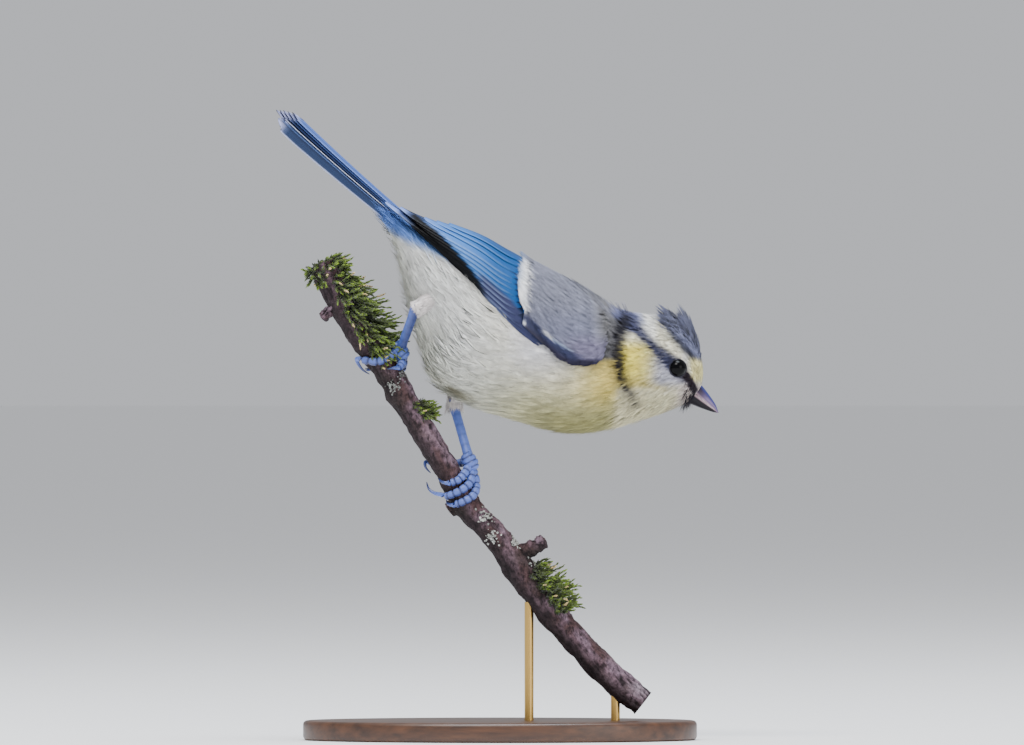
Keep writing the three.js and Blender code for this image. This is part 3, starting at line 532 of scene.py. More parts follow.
def gathered(name, groups):
    """Joins groups of feathers, each as points, faces, colours, map places and normals, into one piece."""
    start = 0
    faces = []
    for points, made, _, _, _ in groups:
        faces.append(made.reshape(-1, 3) + start)
        start += points.shape[0] * points.shape[1]
    points, colour, normals = (np.concatenate([g[k].reshape(-1, 3) for g in groups]) for k in (0, 2, 4))
    uv = np.concatenate([g[3].reshape(-1, 2) for g in groups])
    faces = np.concatenate(faces)
    a, b, c = points[faces[0]]
    if np.dot(np.cross(b - a, c - a), normals[faces[0][0]]) < 0:
        faces = faces[:, ::-1]
    return mesh_piece(name, points, faces, colour, uv, normals=normals)


def lay(place, p, q, forward, length, width, heading, sunk, rise, shape, curl=0.0):
    """Lays one feather shape at many places (p, q) of a surface, along it and following its curve."""
    local, faces = shape
    step = 1e-3
    run = np.linalg.norm(place(p + step, q) - place(p - step, q), axis=-1) / (2 * step)
    girth = np.linalg.norm(place(p, q + step) - place(p, q - step), axis=-1) / (2 * step)
    along = local[None, :, 0] * length[:, None]
    across = local[None, :, 1] * width[:, None]
    turn = heading[:, None] + curl * local[None, :, 0]
    dp = forward * (along * np.cos(turn) - across * np.sin(turn)) / run[:, None]
    dq = (along * np.sin(turn) + across * np.cos(turn)) / girth[:, None]
    out = -sunk[:, None] + rise[:, None] * local[None, :, 0] ** 1.3 + local[None, :, 2] * width[:, None]
    points = place(p[:, None] + dp, q[:, None] + dq, out)
    first = np.arange(len(p))[:, None, None] * local.shape[0]
    return points, faces[None] + first


def coat(name, place, p, q, forward, length, width, heading, sunk, rise, shapes, painter, uv_place,
         curl=0.0, shade=(0.9, 1.04), vary=0.035):
    """A coat of small feathers as one piece, each painted where it lies and a little darker at its root, as
    painted shade.
    """
    kinds = rng.integers(0, len(shapes), len(p))
    groups = []
    for k, shape in enumerate(shapes):
        chosen = kinds == k
        if not chosen.any():
            continue
        points, faces = lay(place, p[chosen], q[chosen], forward, length[chosen], width[chosen],
                            heading[chosen], sunk[chosen], rise[chosen], shape, curl)
        count = chosen.sum()
        roots = place(p[chosen], q[chosen], np.zeros(count))
        out = unit(place(p[chosen], q[chosen], np.ones(count)) - roots)
        x = shape[0][None, :, 0]
        light = shade[0] + (shade[1] - shade[0]) * np.clip(x, 0, 1)
        varied = 1 + rng.normal(0, vary, count)[:, None]
        colour = painter(roots, points, x, out) * (light * varied)[..., None]
        lean = (points - points.mean(1, keepdims=True)) / (length[chosen] / 2)[:, None, None]
        normals = unit((out + rng.normal(0, 0.1, out.shape))[:, None] + 0.28 * lean)
        base = uv_place(p[chosen], q[chosen])[:, None]
        uv = base + MAP_SPOT * (shape[0][None, :, :2] - [0.5, 0.0])
        groups.append((points, faces, colour, uv, normals))
    return gathered(name, groups)


def standing(name, roots, tips, widths, out, bow, shapes, painter, uv, shade=(0.8, 1.06), vary=0.08):
    """Feathers that stand off the body, each from its root to its tip and bowed outwards."""
    kinds = rng.integers(0, len(shapes), len(roots))
    groups = []
    for k, shape in enumerate(shapes):
        chosen = kinds == k
        if not chosen.any():
            continue
        local, faces = shape
        root, run = roots[chosen], (tips - roots)[chosen]
        across = unit(np.cross(unit(run), out[chosen]))
        up = np.cross(across, unit(run))
        x, y, z = (local[None, :, i, None] for i in range(3))
        wide = widths[chosen][:, None, None]
        points = root[:, None] + run[:, None] * x + across[:, None] * y * wide
        points = points + up[:, None] * (bow[chosen][:, None, None] * 4 * x * (1 - x) + z * wide)
        first = np.arange(len(root))[:, None, None] * local.shape[0]
        # Painted shade: each feather a little darker towards its root.
        light = shade[0] + (shade[1] - shade[0]) * np.clip(x[..., 0], 0, 1)
        varied = 1 + rng.normal(0, vary, len(root))[:, None]
        colour = painter(root, points, x[..., 0], out[chosen]) * (light * varied)[..., None]
        normals = unit(up[:, None] + across[:, None] * y * 1.2 + rng.normal(0, 0.1, (len(root), 1, 3)))
        place = uv[chosen][:, None] + MAP_SPOT * (local[None, :, :2] - [0.5, 0.0])
        groups.append((points, faces[None] + first, colour, place, normals))
    return gathered(name, groups)


def scatter(low_p, high_p, low_q, high_q, spacing, place):
    """Places over a stretch of a surface, about spacing mm apart."""
    many = 60000
    p = rng.uniform(low_p, high_p, many)
    q = rng.uniform(low_q, high_q, many)
    step = 1e-3
    run = (place(p + step, q) - place(p - step, q)) / (2 * step)
    girth = (place(p, q + step) - place(p, q - step)) / (2 * step)
    area = np.linalg.norm(np.cross(run, girth), axis=-1)
    whole = area.mean() * (high_p - low_p) * (high_q - low_q)
    wanted = min(many, int(whole / spacing**2))
    keep = rng.uniform(0, 1, many) < area / area.sum() * wanted
    return p[keep], q[keep]


# Shaders


class Socket:
    """A shader value that takes part in Python sums."""

    def __init__(self, tree, link):
        self.tree, self.link = tree, link

    def maths(self, operation, other, swapped=False):
        first, second = (other, self) if swapped else (self, other)
        return self.tree.node("ShaderNodeMath", {"operation": operation}, {0: first, 1: second})

    def __add__(self, other):
        return self.maths("ADD", other)

    def __radd__(self, other):
        return self.maths("ADD", other, True)

    def __sub__(self, other):
        return self.maths("SUBTRACT", other)

    def __rsub__(self, other):
        return self.maths("SUBTRACT", other, True)

    def __mul__(self, other):
        return self.maths("MULTIPLY", other)

    def __rmul__(self, other):
        return self.maths("MULTIPLY", other, True)


class Finish:
    """A material with one Principled shader, whose nodes are all made by node()."""

    def __init__(self, name, **settings):
        self.material = bpy.data.materials.new(name)
        self.material.use_nodes = True
        self.tree = self.material.node_tree
        self.shader = self.tree.nodes["Principled BSDF"]
        for socket, value in settings.items():
            self.shader.inputs[socket.replace("_", " ")].default_value = value

    def node(self, kind, settings=None, inputs=None, output=0):
        made = self.tree.nodes.new(kind)
        for key, value in (settings or {}).items():
            if key == "stops":
                ramp_stops(made.color_ramp, value)
            else:
                setattr(made, key, value)
        for key, value in (inputs or {}).items():
            self.feed(made.inputs[key], value)
        return Socket(self, made.outputs[output])

    def feed(self, socket, value):
        if isinstance(value, Socket):
            self.tree.links.new(value.link, socket)
        else:
            socket.default_value = value

    def give(self, **inputs):
        for socket, value in inputs.items():
            self.feed(self.shader.inputs[socket.replace("_", " ")], value)
        return self.material

    def paint(self):
        return self.node("ShaderNodeAttribute", {"attribute_name": "paint"})

    def where(self):
        return self.node("ShaderNodeTexCoord", output="Object")

    def stretched(self, scale):
        return self.node("ShaderNodeMapping", inputs={"Vector": self.where(), "Scale": scale})

    def grain(self, scale, detail=4.0, rough=0.55, vector=None):
        inputs = {"Vector": vector or self.where(), "Scale": scale, "Detail": detail, "Roughness": rough}
        return self.node("ShaderNodeTexNoise", inputs=inputs)

    def cells(self, scale, feature="F1", vector=None):
        inputs = {"Vector": vector or self.where(), "Scale": scale}
        return self.node("ShaderNodeTexVoronoi", {"feature": feature}, inputs, "Distance")

    def tinted(self, colour, other, share):
        inputs = {"Factor": share, "A": colour, "B": other}
        return self.node("ShaderNodeMix", {"data_type": "RGBA"}, inputs, 2)

    def spread(self, value, low, high, to_low=0.0, to_high=1.0):
        inputs = {"Value": value, "From Min": low, "From Max": high, "To Min": to_low, "To Max": to_high}
        return self.node("ShaderNodeMapRange", inputs=inputs)

    def bumped(self, height, distance, strength=1.0):
        inputs = {"Height": height, "Distance": distance, "Strength": strength}
        return self.node("ShaderNodeBump", inputs=inputs)

    def shaded(self, colour, low, high, scale):
        """A colour made lighter and darker by a fine grain."""
        change = self.spread(self.grain(scale), 0.3, 0.7, low, high)
        return self.node("ShaderNodeHueSaturation", inputs={"Value": change, "Color": colour})


def ramp_stops(color_ramp, stops):
    while len(color_ramp.elements) < len(stops):
        color_ramp.elements.new(0.5)
    for element, (place, colour) in zip(color_ramp.elements, stops):
        element.position = place
        element.color = colour


def colour4(*display):
    """A display colour as a shader's four values."""
    return (*linear(display), 1.0)


def feather_finish(name, roughness, sheen=0.08):
    f = Finish(name, Roughness=roughness, Sheen_Weight=sheen, Sheen_Roughness=0.5)
    f.shader.inputs["Specular IOR Level"].default_value = 0.15
    return f.give(Base_Color=f.shaded(f.paint(), 0.93, 1.07, 1400.0))


def vane_finish():
    f = Finish("flight feather", Roughness=0.5)
    f.shader.inputs["Specular IOR Level"].default_value = 0.15
    barb = f.node("ShaderNodeAttribute", {"attribute_name": "barb"}, output="Fac")
    lines = f.node("ShaderNodeMath", {"operation": "SINE"}, {0: barb * 60.0})
    return f.give(
        Base_Color=f.shaded(f.paint(), 0.94, 1.06, 1500.0),
        Normal=f.bumped(lines * 0.5 + 0.5, 0.00003, 0.5),
    )


def skin_finish():
    f = Finish("skin under the feathers", Roughness=0.95)
    return f.give(Base_Color=f.shaded(f.paint(), 0.85, 1.0, 900.0))


def bill_finish():
    f = Finish("horn of the bill", Roughness=0.36, Coat_Weight=0.05, Coat_Roughness=0.2)
    f.shader.inputs["Specular IOR Level"].default_value = 0.18
    streak = f.grain(420.0, 5.0, 0.6, f.stretched((1.0, 3.0, 1.0)))
    return f.give(Base_Color=f.shaded(f.paint(), 0.82, 1.12, 700.0), Normal=f.bumped(streak, 0.00006, 0.5))


def eye_finish():
    f = Finish("wet eye", Roughness=0.03)
    f.shader.inputs["Specular IOR Level"].default_value = 0.1
    return f.give(Base_Color=colour4(5, 5, 7))


def leg_finish():
    f = Finish("scaled leg", Roughness=0.48, Coat_Weight=0.15, Coat_Roughness=0.35)
    fine = f.cells(2600.0)
    return f.give(Base_Color=f.shaded(f.paint(), 0.86, 1.1, 1500.0), Normal=f.bumped(fine, 0.00005, 0.5))


def claw_finish():
    f = Finish("horn of the claws", Roughness=0.3, Coat_Weight=0.3, Coat_Roughness=0.2)
    return f.give(Base_Color=f.paint())


def bark_finish():
    f = Finish("bark", Roughness=0.85)
    f.shader.inputs["Specular IOR Level"].default_value = 0.3
    warts = f.cells(900.0)
    crack = f.grain(700.0, 8.0, 0.65)
    height = f.spread(warts, 0.0, 0.6, 1.0, 0.0) * 0.5 + crack
    fissure = f.spread(f.grain(1300.0, 8.0, 0.7, f.stretched((1.0, 1.0, 0.4))), 0.38, 0.5, 1.0, 0.0)
    colour = f.tinted(f.paint(), colour4(30, 22, 26), fissure * 0.8)
    return f.give(Base_Color=f.shaded(colour, 0.5, 1.35, 1300.0), Normal=f.bumped(height, 0.0006, 0.9))


def moss_finish():
    f = Finish("moss", Roughness=0.75, Sheen_Weight=0.2)
    return f.give(Base_Color=f.shaded(f.paint(), 0.85, 1.15, 900.0))


def lichen_finish():
    f = Finish("lichen crust", Roughness=0.9)
    return f.give(
        Base_Color=f.shaded(f.paint(), 0.8, 1.08, 1500.0),
        Normal=f.bumped(f.grain(2200.0), 0.0001, 0.7),
    )


def wood_finish():
    f = Finish("dark stained wood", Roughness=0.42, Coat_Weight=0.2, Coat_Roughness=0.3)
    rings = f.grain(60.0, 6.0, 0.6, f.stretched((1.0, 9.0, 9.0)))
    fine = f.grain(900.0, 3.0, 0.5, f.stretched((0.06, 1.0, 1.0)))
    colour = f.node("ShaderNodeValToRGB", {"stops": [(0.3, colour4(38, 22, 14)), (0.7, colour4(92, 58, 36))]},
                    {"Fac": rings * 0.75 + fine * 0.25})
    return f.give(Base_Color=colour, Normal=f.bumped(fine, 0.00005, 0.3))


def brass_finish():
    f = Finish("satin brass", Metallic=1.0)
    brushed = f.grain(1500.0, 3.0, 0.5, f.stretched((1.0, 1.0, 0.03)))
    return f.give(Base_Color=colour4(196, 160, 92), Roughness=f.spread(brushed, 0.3, 0.7, 0.24, 0.4))


FEATHER = feather_finish("small feathers", 0.85)
VANE = vane_finish()
SKIN = skin_finish()
BILL = bill_finish()
EYE = eye_finish()
LEG = leg_finish()
CLAW = claw_finish()
BARK = bark_finish()
MOSS = moss_finish()
LICHEN = lichen_finish()
WOOD = wood_finish()
BRASS = brass_finish()

# Body

COAT_DEPTH = 1.1
BED_DEPTH = 3.6
HEAD_THINNER = 0.45


def body_normals(t, a):
    """The way the body faces."""
    return unit(body(t, a, 1.0) - body(t, a, 0.0))


def make_skin():
    """The bird's body under its feathers: a sphere laid out as the body, with beds for the wings."""
    rows, around = 150, 120
    bpy.ops.object.select_all(action="DESELECT")
    bpy.ops.mesh.primitive_uv_sphere_add(segments=around, ring_count=rows, radius=1.0, location=(0, 0, 0))
    skin = bpy.context.object
    skin.name = "skin"
    here = mesh_points(skin.data)
    t = np.arccos(np.clip(here[:, 2], -1, 1)) / HALF_TURN
    a = np.arctan2(here[:, 1], here[:, 0])
    surface = body(t, a)
    depth = COAT_DEPTH + (BED_DEPTH - COAT_DEPTH) * under_wing(surface)
    depth = depth * (1 - HEAD_THINNER * ramp(0.66, 0.8, t)) + 0.3 * ramp(0.97, 1.0, t)
    points = body(t, a, -depth)
    for pole in (t < 1e-6, t > 1 - 1e-6):
        points[pole] = (body(t[pole], 0.0) + body(t[pole], HALF_TURN)) / 2
    place_points(skin.data, points)
    # The skin carries the plumage's colours, a little darker as painted shade under the feathers.
    paint_mesh(skin.data, plumage(surface, body_normals(t, a)) * 0.95)
    skin.data.uv_layers[0].name = "OFBake"
    skin.data.shade_smooth()
    return finish_piece(skin, SKIN, "plumage", "rump", "belly", "breast", "neck", "head")


def body_uv(t, a):
    """A body point's place on the map."""
    return np.stack([inset((a / HALF_TURN + 1) / 2), inset(np.clip(t, 0, 1))], -1)


def body_painter(roots, points, x, out):
    """A body feather's colours: the plumage where it lies, with a little of its root's."""
    here = plumage(points, out[:, None] + np.zeros(points.shape))
    return here * 0.85 + plumage(roots, out)[:, None] * 0.15


BODY_LENGTH = 90.0
EYE_ROOM = 0.25
eye_centre = (sum(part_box("eye_right"), Vector()) / 2) / MM
EYE_RADIUS = (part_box("eye_right")[1].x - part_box("eye_right")[0].x) / MM / 2


def clear_of_eyes(t, a, length):
    """True for feathers whose root and tip lie off both eyes."""
    root, tip = body(t, a), body(t - length / BODY_LENGTH, a)
    keep = np.ones(len(t), bool)
    for point in (root, tip):
        spot = np.abs(point)
        gap = np.linalg.norm(spot - [eye_centre.x, abs(eye_centre.y), eye_centre.z], axis=-1)
        keep &= gap > EYE_RADIUS + EYE_ROOM
    return keep


def body_feathers(name, span, spacing, length, width, rise, shapes, wander=0.12, keep=None, curl=0.0,
                  sunk=COAT_DEPTH, shade=(0.9, 1.04), vary=0.035):
    """One field of the body's feathers, between two shares of its length."""
    t, a = scatter(span[0], span[1], -HALF_TURN, HALF_TURN, spacing, body)
    surface = body(t, a)
    bare = under_wing(surface) < 0.75
    bare &= clear_of_eyes(t, a, length)
    if keep is not None:
        bare &= keep(t, a)
    t, a = t[bare], a[bare]
    size = rng.uniform(0.8, 1.2, len(t))
    heading = rng.normal(0, wander, len(t)) + 0.18 * np.sin(a)
    depth = sunk * rng.uniform(0.9, 1.05, len(t))
    lifted = rise * rng.uniform(0.75, 1.15, len(t))
    piece = coat(name, body, t, a, -1, length * size, width * size, heading, depth, lifted, shapes,
                 body_painter, body_uv, curl, shade, vary)
    return finish_piece(piece, FEATHER, "plumage")


def lower_side(t, a):
    """True off the bird's back, and over all of its tail root."""
    return (np.abs(a) > 1.2) | (t < 0.12)


def make_body_coat():
    """The feathers of the trunk and head in overlapping fields, with loose wisps on the lower side."""
    soft = [feather_shape(8, 0.62, 0.12) for _ in range(TEMPLATES)]
    loose = [feather_shape(7, 0.8, 0.2, 0.9) for _ in range(TEMPLATES)]
    fine = [feather_shape(5, 0.66, 0.14, 0.9) for _ in range(TEMPLATES)]
    wisps = [strand_shape(4, 0.22) for _ in range(TEMPLATES)]
    for name, span, spacing, length, width, rise, shapes, wander, sunk, shade, vary in (
        ("tail_covert", (0.0, 0.2), 0.85, 6.4, 1.35, 0.9, loose, 0.08, COAT_DEPTH, (0.86, 1.04), 0.035),
        ("belly", (0.17, 0.42), 0.85, 8.0, 1.6, 1.0, loose, 0.12, COAT_DEPTH, (0.74, 1.04), 0.07),
        ("breast", (0.38, 0.61), 0.8, 6.0, 1.5, 1.0, soft, 0.12, COAT_DEPTH, (0.76, 1.04), 0.065),
        ("neck", (0.575, 0.72), 0.6, 2.8, 0.95, 0.95, fine, 0.1, 1.0, (0.82, 1.05), 0.06),
        ("head", (0.69, 0.86), 0.5, 2.3, 0.75, 0.78, fine, 0.12, 0.75, (0.64, 1.08), 0.11),
        ("face", (0.83, 0.985), 0.42, 1.7, 0.55, 0.62, fine, 0.14, 0.6, (0.6, 1.08), 0.13),
    ):
        body_feathers(f"{name}_feathers", span, spacing, length, width, rise, shapes, wander,
                      sunk=sunk, shade=shade, vary=vary)
    body_feathers("belly_wisps", (0.06, 0.42), 1.7, 8.5, 1.0, 2.7, wisps, 0.2, lower_side,
                  curl=0.25, vary=0.04)
    body_feathers("breast_wisps", (0.42, 0.86), 1.7, 4.6, 0.7, 1.6, wisps, 0.2, lower_side,
                  curl=0.2, vary=0.04)


CREST_SPAN = (0.745, 0.905)
CREST_HALF = 1.1
CREST_COUNT = 560
CREST_GREY = (90, 92, 112)
CREST_ROOT = (34, 36, 46)
CREST_TIP = (138, 144, 184)


def make_crest():
    """Long loose crown feathers that stand up and lean back, in a tall front bunch and a lower rear one."""
    shapes = [feather_shape(5, 0.66, 0.2, 0.8) for _ in range(TEMPLATES)]
    t = rng.uniform(*CREST_SPAN, CREST_COUNT)
    a = rng.uniform(-CREST_HALF, CREST_HALF, CREST_COUNT)
    surface = body(t, a)
    inside = above(surface[:, 0], surface[:, 2], CAP_EDGE, 0.3) > 0.6
    t, a, surface = t[inside], a[inside], surface[inside]
    out = body_normals(t, a)
    front = (t - CREST_SPAN[0]) / (CREST_SPAN[1] - CREST_SPAN[0])
    run_x = np.interp(front, [0, 0.3, 0.5, 0.8, 1.0], [-3.0, -2.8, -2.6, -2.2, -1.2])
    run_z = np.interp(front, [0, 0.18, 0.34, 0.5, 0.8, 1.0], [3.6, 3.8, 2.4, 7.0, 7.2, 5.2])
    flat = 0.35 + 0.65 * np.cos(a) ** 2
    size = rng.uniform(0.7, 1.04, len(t))
    run = np.stack([run_x - 0.5 * (1 - flat), -0.16 * surface[:, 1], run_z * flat], -1) * size[:, None]
    run += rng.normal(0, 0.25, run.shape)
    roots = body(t, a, -0.7)

    def painter(root, points, x, out):
        tint = np.array(CREST_GREY, float) * rng.uniform(0.78, 1.2, len(root))[:, None, None]
        base = np.zeros(points.shape) + tint
        base = mix(base, CREST_ROOT, (1 - ramp(0.2, 0.7, x)) * 0.85 + np.zeros(points.shape[:2]))
        return mix(base, CREST_TIP, ramp(0.65, 1.0, x) * 0.55 + np.zeros(points.shape[:2]))

    piece = standing("crest_feathers", roots, roots + run, rng.uniform(0.9, 1.4, len(t)), out,
                     0.35 * rng.uniform(0.6, 1.3, len(t)), shapes, painter, body_uv(t, a))
    return finish_piece(piece, FEATHER, "head")


# Wings and tail


def vane_points(line, out_of, width, rows, columns, camber, thick):
    """A flight feather's two faces along a line, as rings of points round its blade."""
    t = np.linspace(0, 1, rows)
    q = np.linspace(-1, 1, columns)
    middle, across, out = line(t)
    root = np.minimum(1, 0.45 + 2.2 * t)
    tip = np.sqrt(np.clip(1 - np.clip((t - 0.8) / 0.215, 0, 1) ** 2, 0.0, 1))
    reach = (width * root * np.maximum(tip, 0.05) / 2)[:, None] * q[None]
    rise = camber * width * (1 - q[None] ** 2) + 0.05 * np.exp(-((q[None] / 0.12) ** 2))
    half = thick * (1 - 0.6 * t)[:, None] * (1 - 0.75 * np.abs(q[None]) ** 3) / 2
    blade = middle[:, None] + across[:, None] * reach[..., None]
    top = blade + out[:, None] * (rise + half + out_of * reach)[..., None]
    under = blade + out[:, None] * (rise - half + out_of * reach)[..., None]
    ring = np.concatenate([top, under[:, ::-1]], axis=1)
    share = np.concatenate([q, q[::-1]])
    return ring, t[:, None] + np.zeros(len(share))[None], share[None] + np.zeros(rows)[:, None]


def vane_set(name, vanes, material, slot_name, nodes=()):
    """Joins flight feathers into one piece, each with its own strip of the map."""
    tubes = []
    for i, (ring, t, q, colour) in enumerate(vanes):
        uv = np.stack([(i + 0.5 + 0.42 * q) / len(vanes), inset(t)], -1)
        tubes.append(sleeve(ring, colour, uv, t * 3.2 + np.abs(q) * 0.35))
    return finish_piece(joined(name, tubes), material, slot_name, *nodes)


ROOT_SUNK = 1.2


def wing_line(root, tip, side, lift):
    """The line of one flight feather between two places (u, v) of the folded wing, its root sunk in."""
    place = wing(side)

    def line(t):
        u = root[0] + (tip[0] - root[0]) * t
        v = root[1] + (tip[1] - root[1]) * (0.4 * t * t + 0.6 * t)
        middle = place(u, v, lift - 0.25 * (1 - t) - ROOT_SUNK * (1 - ramp(0.0, 0.14, t)))
        out = unit(place(u, v, np.full(len(t), 1.0)) - place(u, v, np.zeros(len(t))))
        along = unit(np.gradient(middle, axis=0))
        return middle, unit(np.cross(along, out)) * side, out

    return line


# Tiers of flight feathers: how many, their widths, their lift off the wing's face, the first and last
# root and the first and last tip as (u, v), and how pale their edges are
FLIGHT_TIERS = [
    ("primaries", 6, (3.4, 4.2), -1.7, ((0.26, 0.985), (0.33, 0.78)), ((0.80, 0.99), (0.985, 0.62)), 0.0),
    ("secondaries", 8, (3.8, 4.6), -1.2, ((0.37, 0.93), (0.39, 0.55)), ((0.66, 0.95), (0.93, 0.55)), 0.35),
    ("tertials", 4, (5.2, 6.6), -0.66, ((0.39, 0.56), (0.4, 0.24)), ((0.88, 0.42), (0.74, 0.2)), 1.0),
]
WEB_BLUE = (22, 74, 132)
WEB_MIDDLE = (58, 112, 180)
WEB_TIP = (118, 142, 208)
WEB_PALE = (128, 146, 172)
WEB_SHADOW = (48, 52, 84)
INNER_WEB = (20, 28, 50)
RIM_BLUE = (176, 198, 242)
WING_EDGE_SHADOW = (4, 5, 9)
SHAFT_DARK = (14, 26, 50)


def flight_colour(ring, q, pale):
    """Blue outer web, strongest by the white bar and paler to the tip, with a dark inner web."""
    x, z = ring[..., 0], ring[..., 2]
    blue = plain(ring, WEB_BLUE)
    blue = mix(blue, WEB_MIDDLE, ramp(1.0, -9.0, x))
    blue = mix(blue, WEB_TIP, ramp(-8.0, -21.0, x))
    blue = mix(blue, WEB_PALE, ramp(-0.2, -0.95, q) * pale * 0.75)
    below = ramp(0.6, -0.4, z - np.interp(x, [-4, 2, 5, 15], [99.2, 94.0, 90.5, 83]))
    blue = mix(blue, WEB_SHADOW, below * ramp(-6, -3, x))
    colour = plain(ring, INNER_WEB)
    web = ramp(-0.15, 0.1, q) if pale < 0.9 else ramp(-1.2, -1.0, q)
    colour = colour + (blue - colour) * web[..., None]
    colour = mix(colour, RIM_BLUE, ramp(0.86, 0.98, q) * (0.5 - 0.25 * pale) * ramp(4.0, 0.0, x))
    # A black strip along the wing's lower edge: painted shadow of the slot under the wing, over the feathers'
    # own dark inner webs.
    edge = np.interp(x, [-18.5, -13.0, -9.5, -6.0, -2.8], [112.4, 108.1, 104.4, 100.2, 95.0])
    rim = ramp(0.3, -0.3, z - edge) * (1 - ramp(-5.0, -2.0, x)) * (1 - 0.6 * ramp(-18, -20, x))
    colour = mix(colour, WING_EDGE_SHADOW, rim)
    return mix(colour, SHAFT_DARK, np.exp(-((q / 0.07) ** 2)) * 0.45)


COVERT_LENGTH = 4.0
COVERT_WIDTH = 1.25


def shoulder_edge(u):
    """The upper edge of the shoulder's coverts, as v."""
    return np.interp(u, [0.035, SHOULDER_END], SHOULDER_UPPER)


def make_flight_feathers(side, name):
    """The wing's long feathers, tier over tier."""
    vanes = []
    for _, count, widths, lift, roots, tips, pale in FLIGHT_TIERS:
        for i in range(count):
            s = i / (count - 1)
            root = [a + (b - a) * s for a, b in zip(*roots)]
            tip = [a + (b - a) * s for a, b in zip(*tips)]
            line = wing_line(root, tip, side, lift + 0.1 * i)
            width = widths[0] + (widths[1] - widths[0]) * s
            ring, t, q = vane_points(line, 0.1, width, 30, 9, 0.05, 0.24)
            ring[..., 1] = side * np.maximum(side * ring[..., 1], 0.18)
            vanes.append((ring, t, q, flight_colour(ring, q, pale)))
    vane_set(f"flight_feathers_{name}", vanes, VANE, "wing", (f"wing_{name}",))


def make_shoulder(side, name):
    """The sheet over the roots of the flight feathers."""
    place = wing(side)
    rows, around = 40, 34
    u = np.linspace(0.07, 0.4, rows)
    v = np.linspace(0, 1, around)
    upper = shoulder_edge(u)
    vv = upper[:, None] + (0.99 - upper)[:, None] * v[None]
    uu = u[:, None] + np.zeros((1, around))
    sides = np.minimum(1, 6 * np.minimum(v, 1 - v))[None]
    ends = np.minimum(1, np.minimum(20 * (uu - 0.06), 12 * (0.41 - uu)))
    rim = sides * ends
    top = place(uu, vv, -0.9 + 0.15 * rim)
    low = place(uu, vv, -1.1 - 0.8 * rim)
    ring = np.concatenate([top, low[:, ::-1]], axis=1)
    # The sheet carries the shoulder's colours, a little darker as painted shade under the coverts.
    sheet = joined(f"shoulder_{name}", [sleeve(ring, scapulars(ring) * 0.92)])
    finish_piece(sheet, SKIN, "wing")


def make_coverts(side, name):
    """The small soft feathers over the shoulder, cut off at the white bar's rear edge."""
    place = wing(side)
    soft = [feather_shape(8, 0.62, 0.1) for _ in range(TEMPLATES)]
    u, v = scatter(0.0, 0.5, 0.0, 1.01, 0.6, place)
    root = place(u, v)
    room = (root[:, 0] - bar_rear(root[:, 2])) * 1.25
    upper = shoulder_edge(u)
    keep = (v > upper - 0.12) & (room > 0.9)
    u, v, room = u[keep], v[keep], room[keep]
    size = rng.uniform(0.85, 1.15, len(u))
    full = COVERT_LENGTH * size * (1 - 0.3 * ramp(0.12, 0.0, u))
    length = np.minimum(full, room * rng.uniform(0.95, 1.1, len(u)) + 0.2)
    heading = rng.normal(0, 0.06, len(u))
    front = ramp(0.06, 0.0, u)
    sunk = 0.8 + 1.0 * front - 0.5 * ramp(4.8, 3.2, room)
    piece = coat(f"covert_feathers_{name}", place, u, v, 1, length, COVERT_WIDTH * size, heading,
                 sunk, 0.62 + 0.6 * front, soft, lambda roots, points, x, out: scapulars(points),
                 lambda p, q: np.stack([inset(q / 1.1), inset(p / 0.5)], -1), shade=(0.72, 1.06), vary=0.06)
    finish_piece(piece, FEATHER, "wing")


def make_wing(side, name):
    """A folded wing."""
    make_flight_feathers(side, name)
    make_shoulder(side, name)
    make_coverts(side, name)


TAIL = {"x": -19.2, "z": 108.7, "rise": 40.6, "curl": 1.1, "top": 2.1}
TAIL_LENGTHS = [35.6, 36.4, 37.2, 37.8, 38.4, 36.9]
# Each tail feather's section from its inner to its outer edge, as mm outwards and mm down
TAIL_SECTIONS = [
    [(0.12, 0.0), (1.5, 0.35), (2.7, 0.9)],
    [(0.4, 0.4), (1.9, 0.78), (3.3, 1.4)],
    [(0.8, 0.8), (2.4, 1.2), (3.9, 1.95)],
    [(1.2, 1.2), (2.9, 1.65), (4.4, 2.45)],
    [(1.6, 1.6), (3.3, 2.1), (4.9, 3.0)],
    [(2.2, 2.0), (4.6, 2.9), (5.4, 5.1)],
]
# The web and the outer edge of each tail feather. The near-black webs of the fourth and fifth are partly
# their own dark colour and partly painted shadow in the gaps under the feathers above them, and the
# outermost's dull slate web is partly painted shade
TAIL_COLOURS = [
    ((72, 100, 168), (138, 164, 232)), ((24, 36, 70), (60, 84, 140)), ((18, 26, 52), (38, 56, 102)),
    ((10, 14, 28), (206, 212, 238)), ((12, 16, 34), (84, 108, 160)), ((36, 50, 80), (170, 178, 210)),
]
TAIL_ROOT = (84, 118, 200)
TAIL_TIP = (164, 168, 208)
TAIL_SHAFT = (16, 22, 40)


TAIL_THICK = 0.18
TAIL_WEBS = 2.6


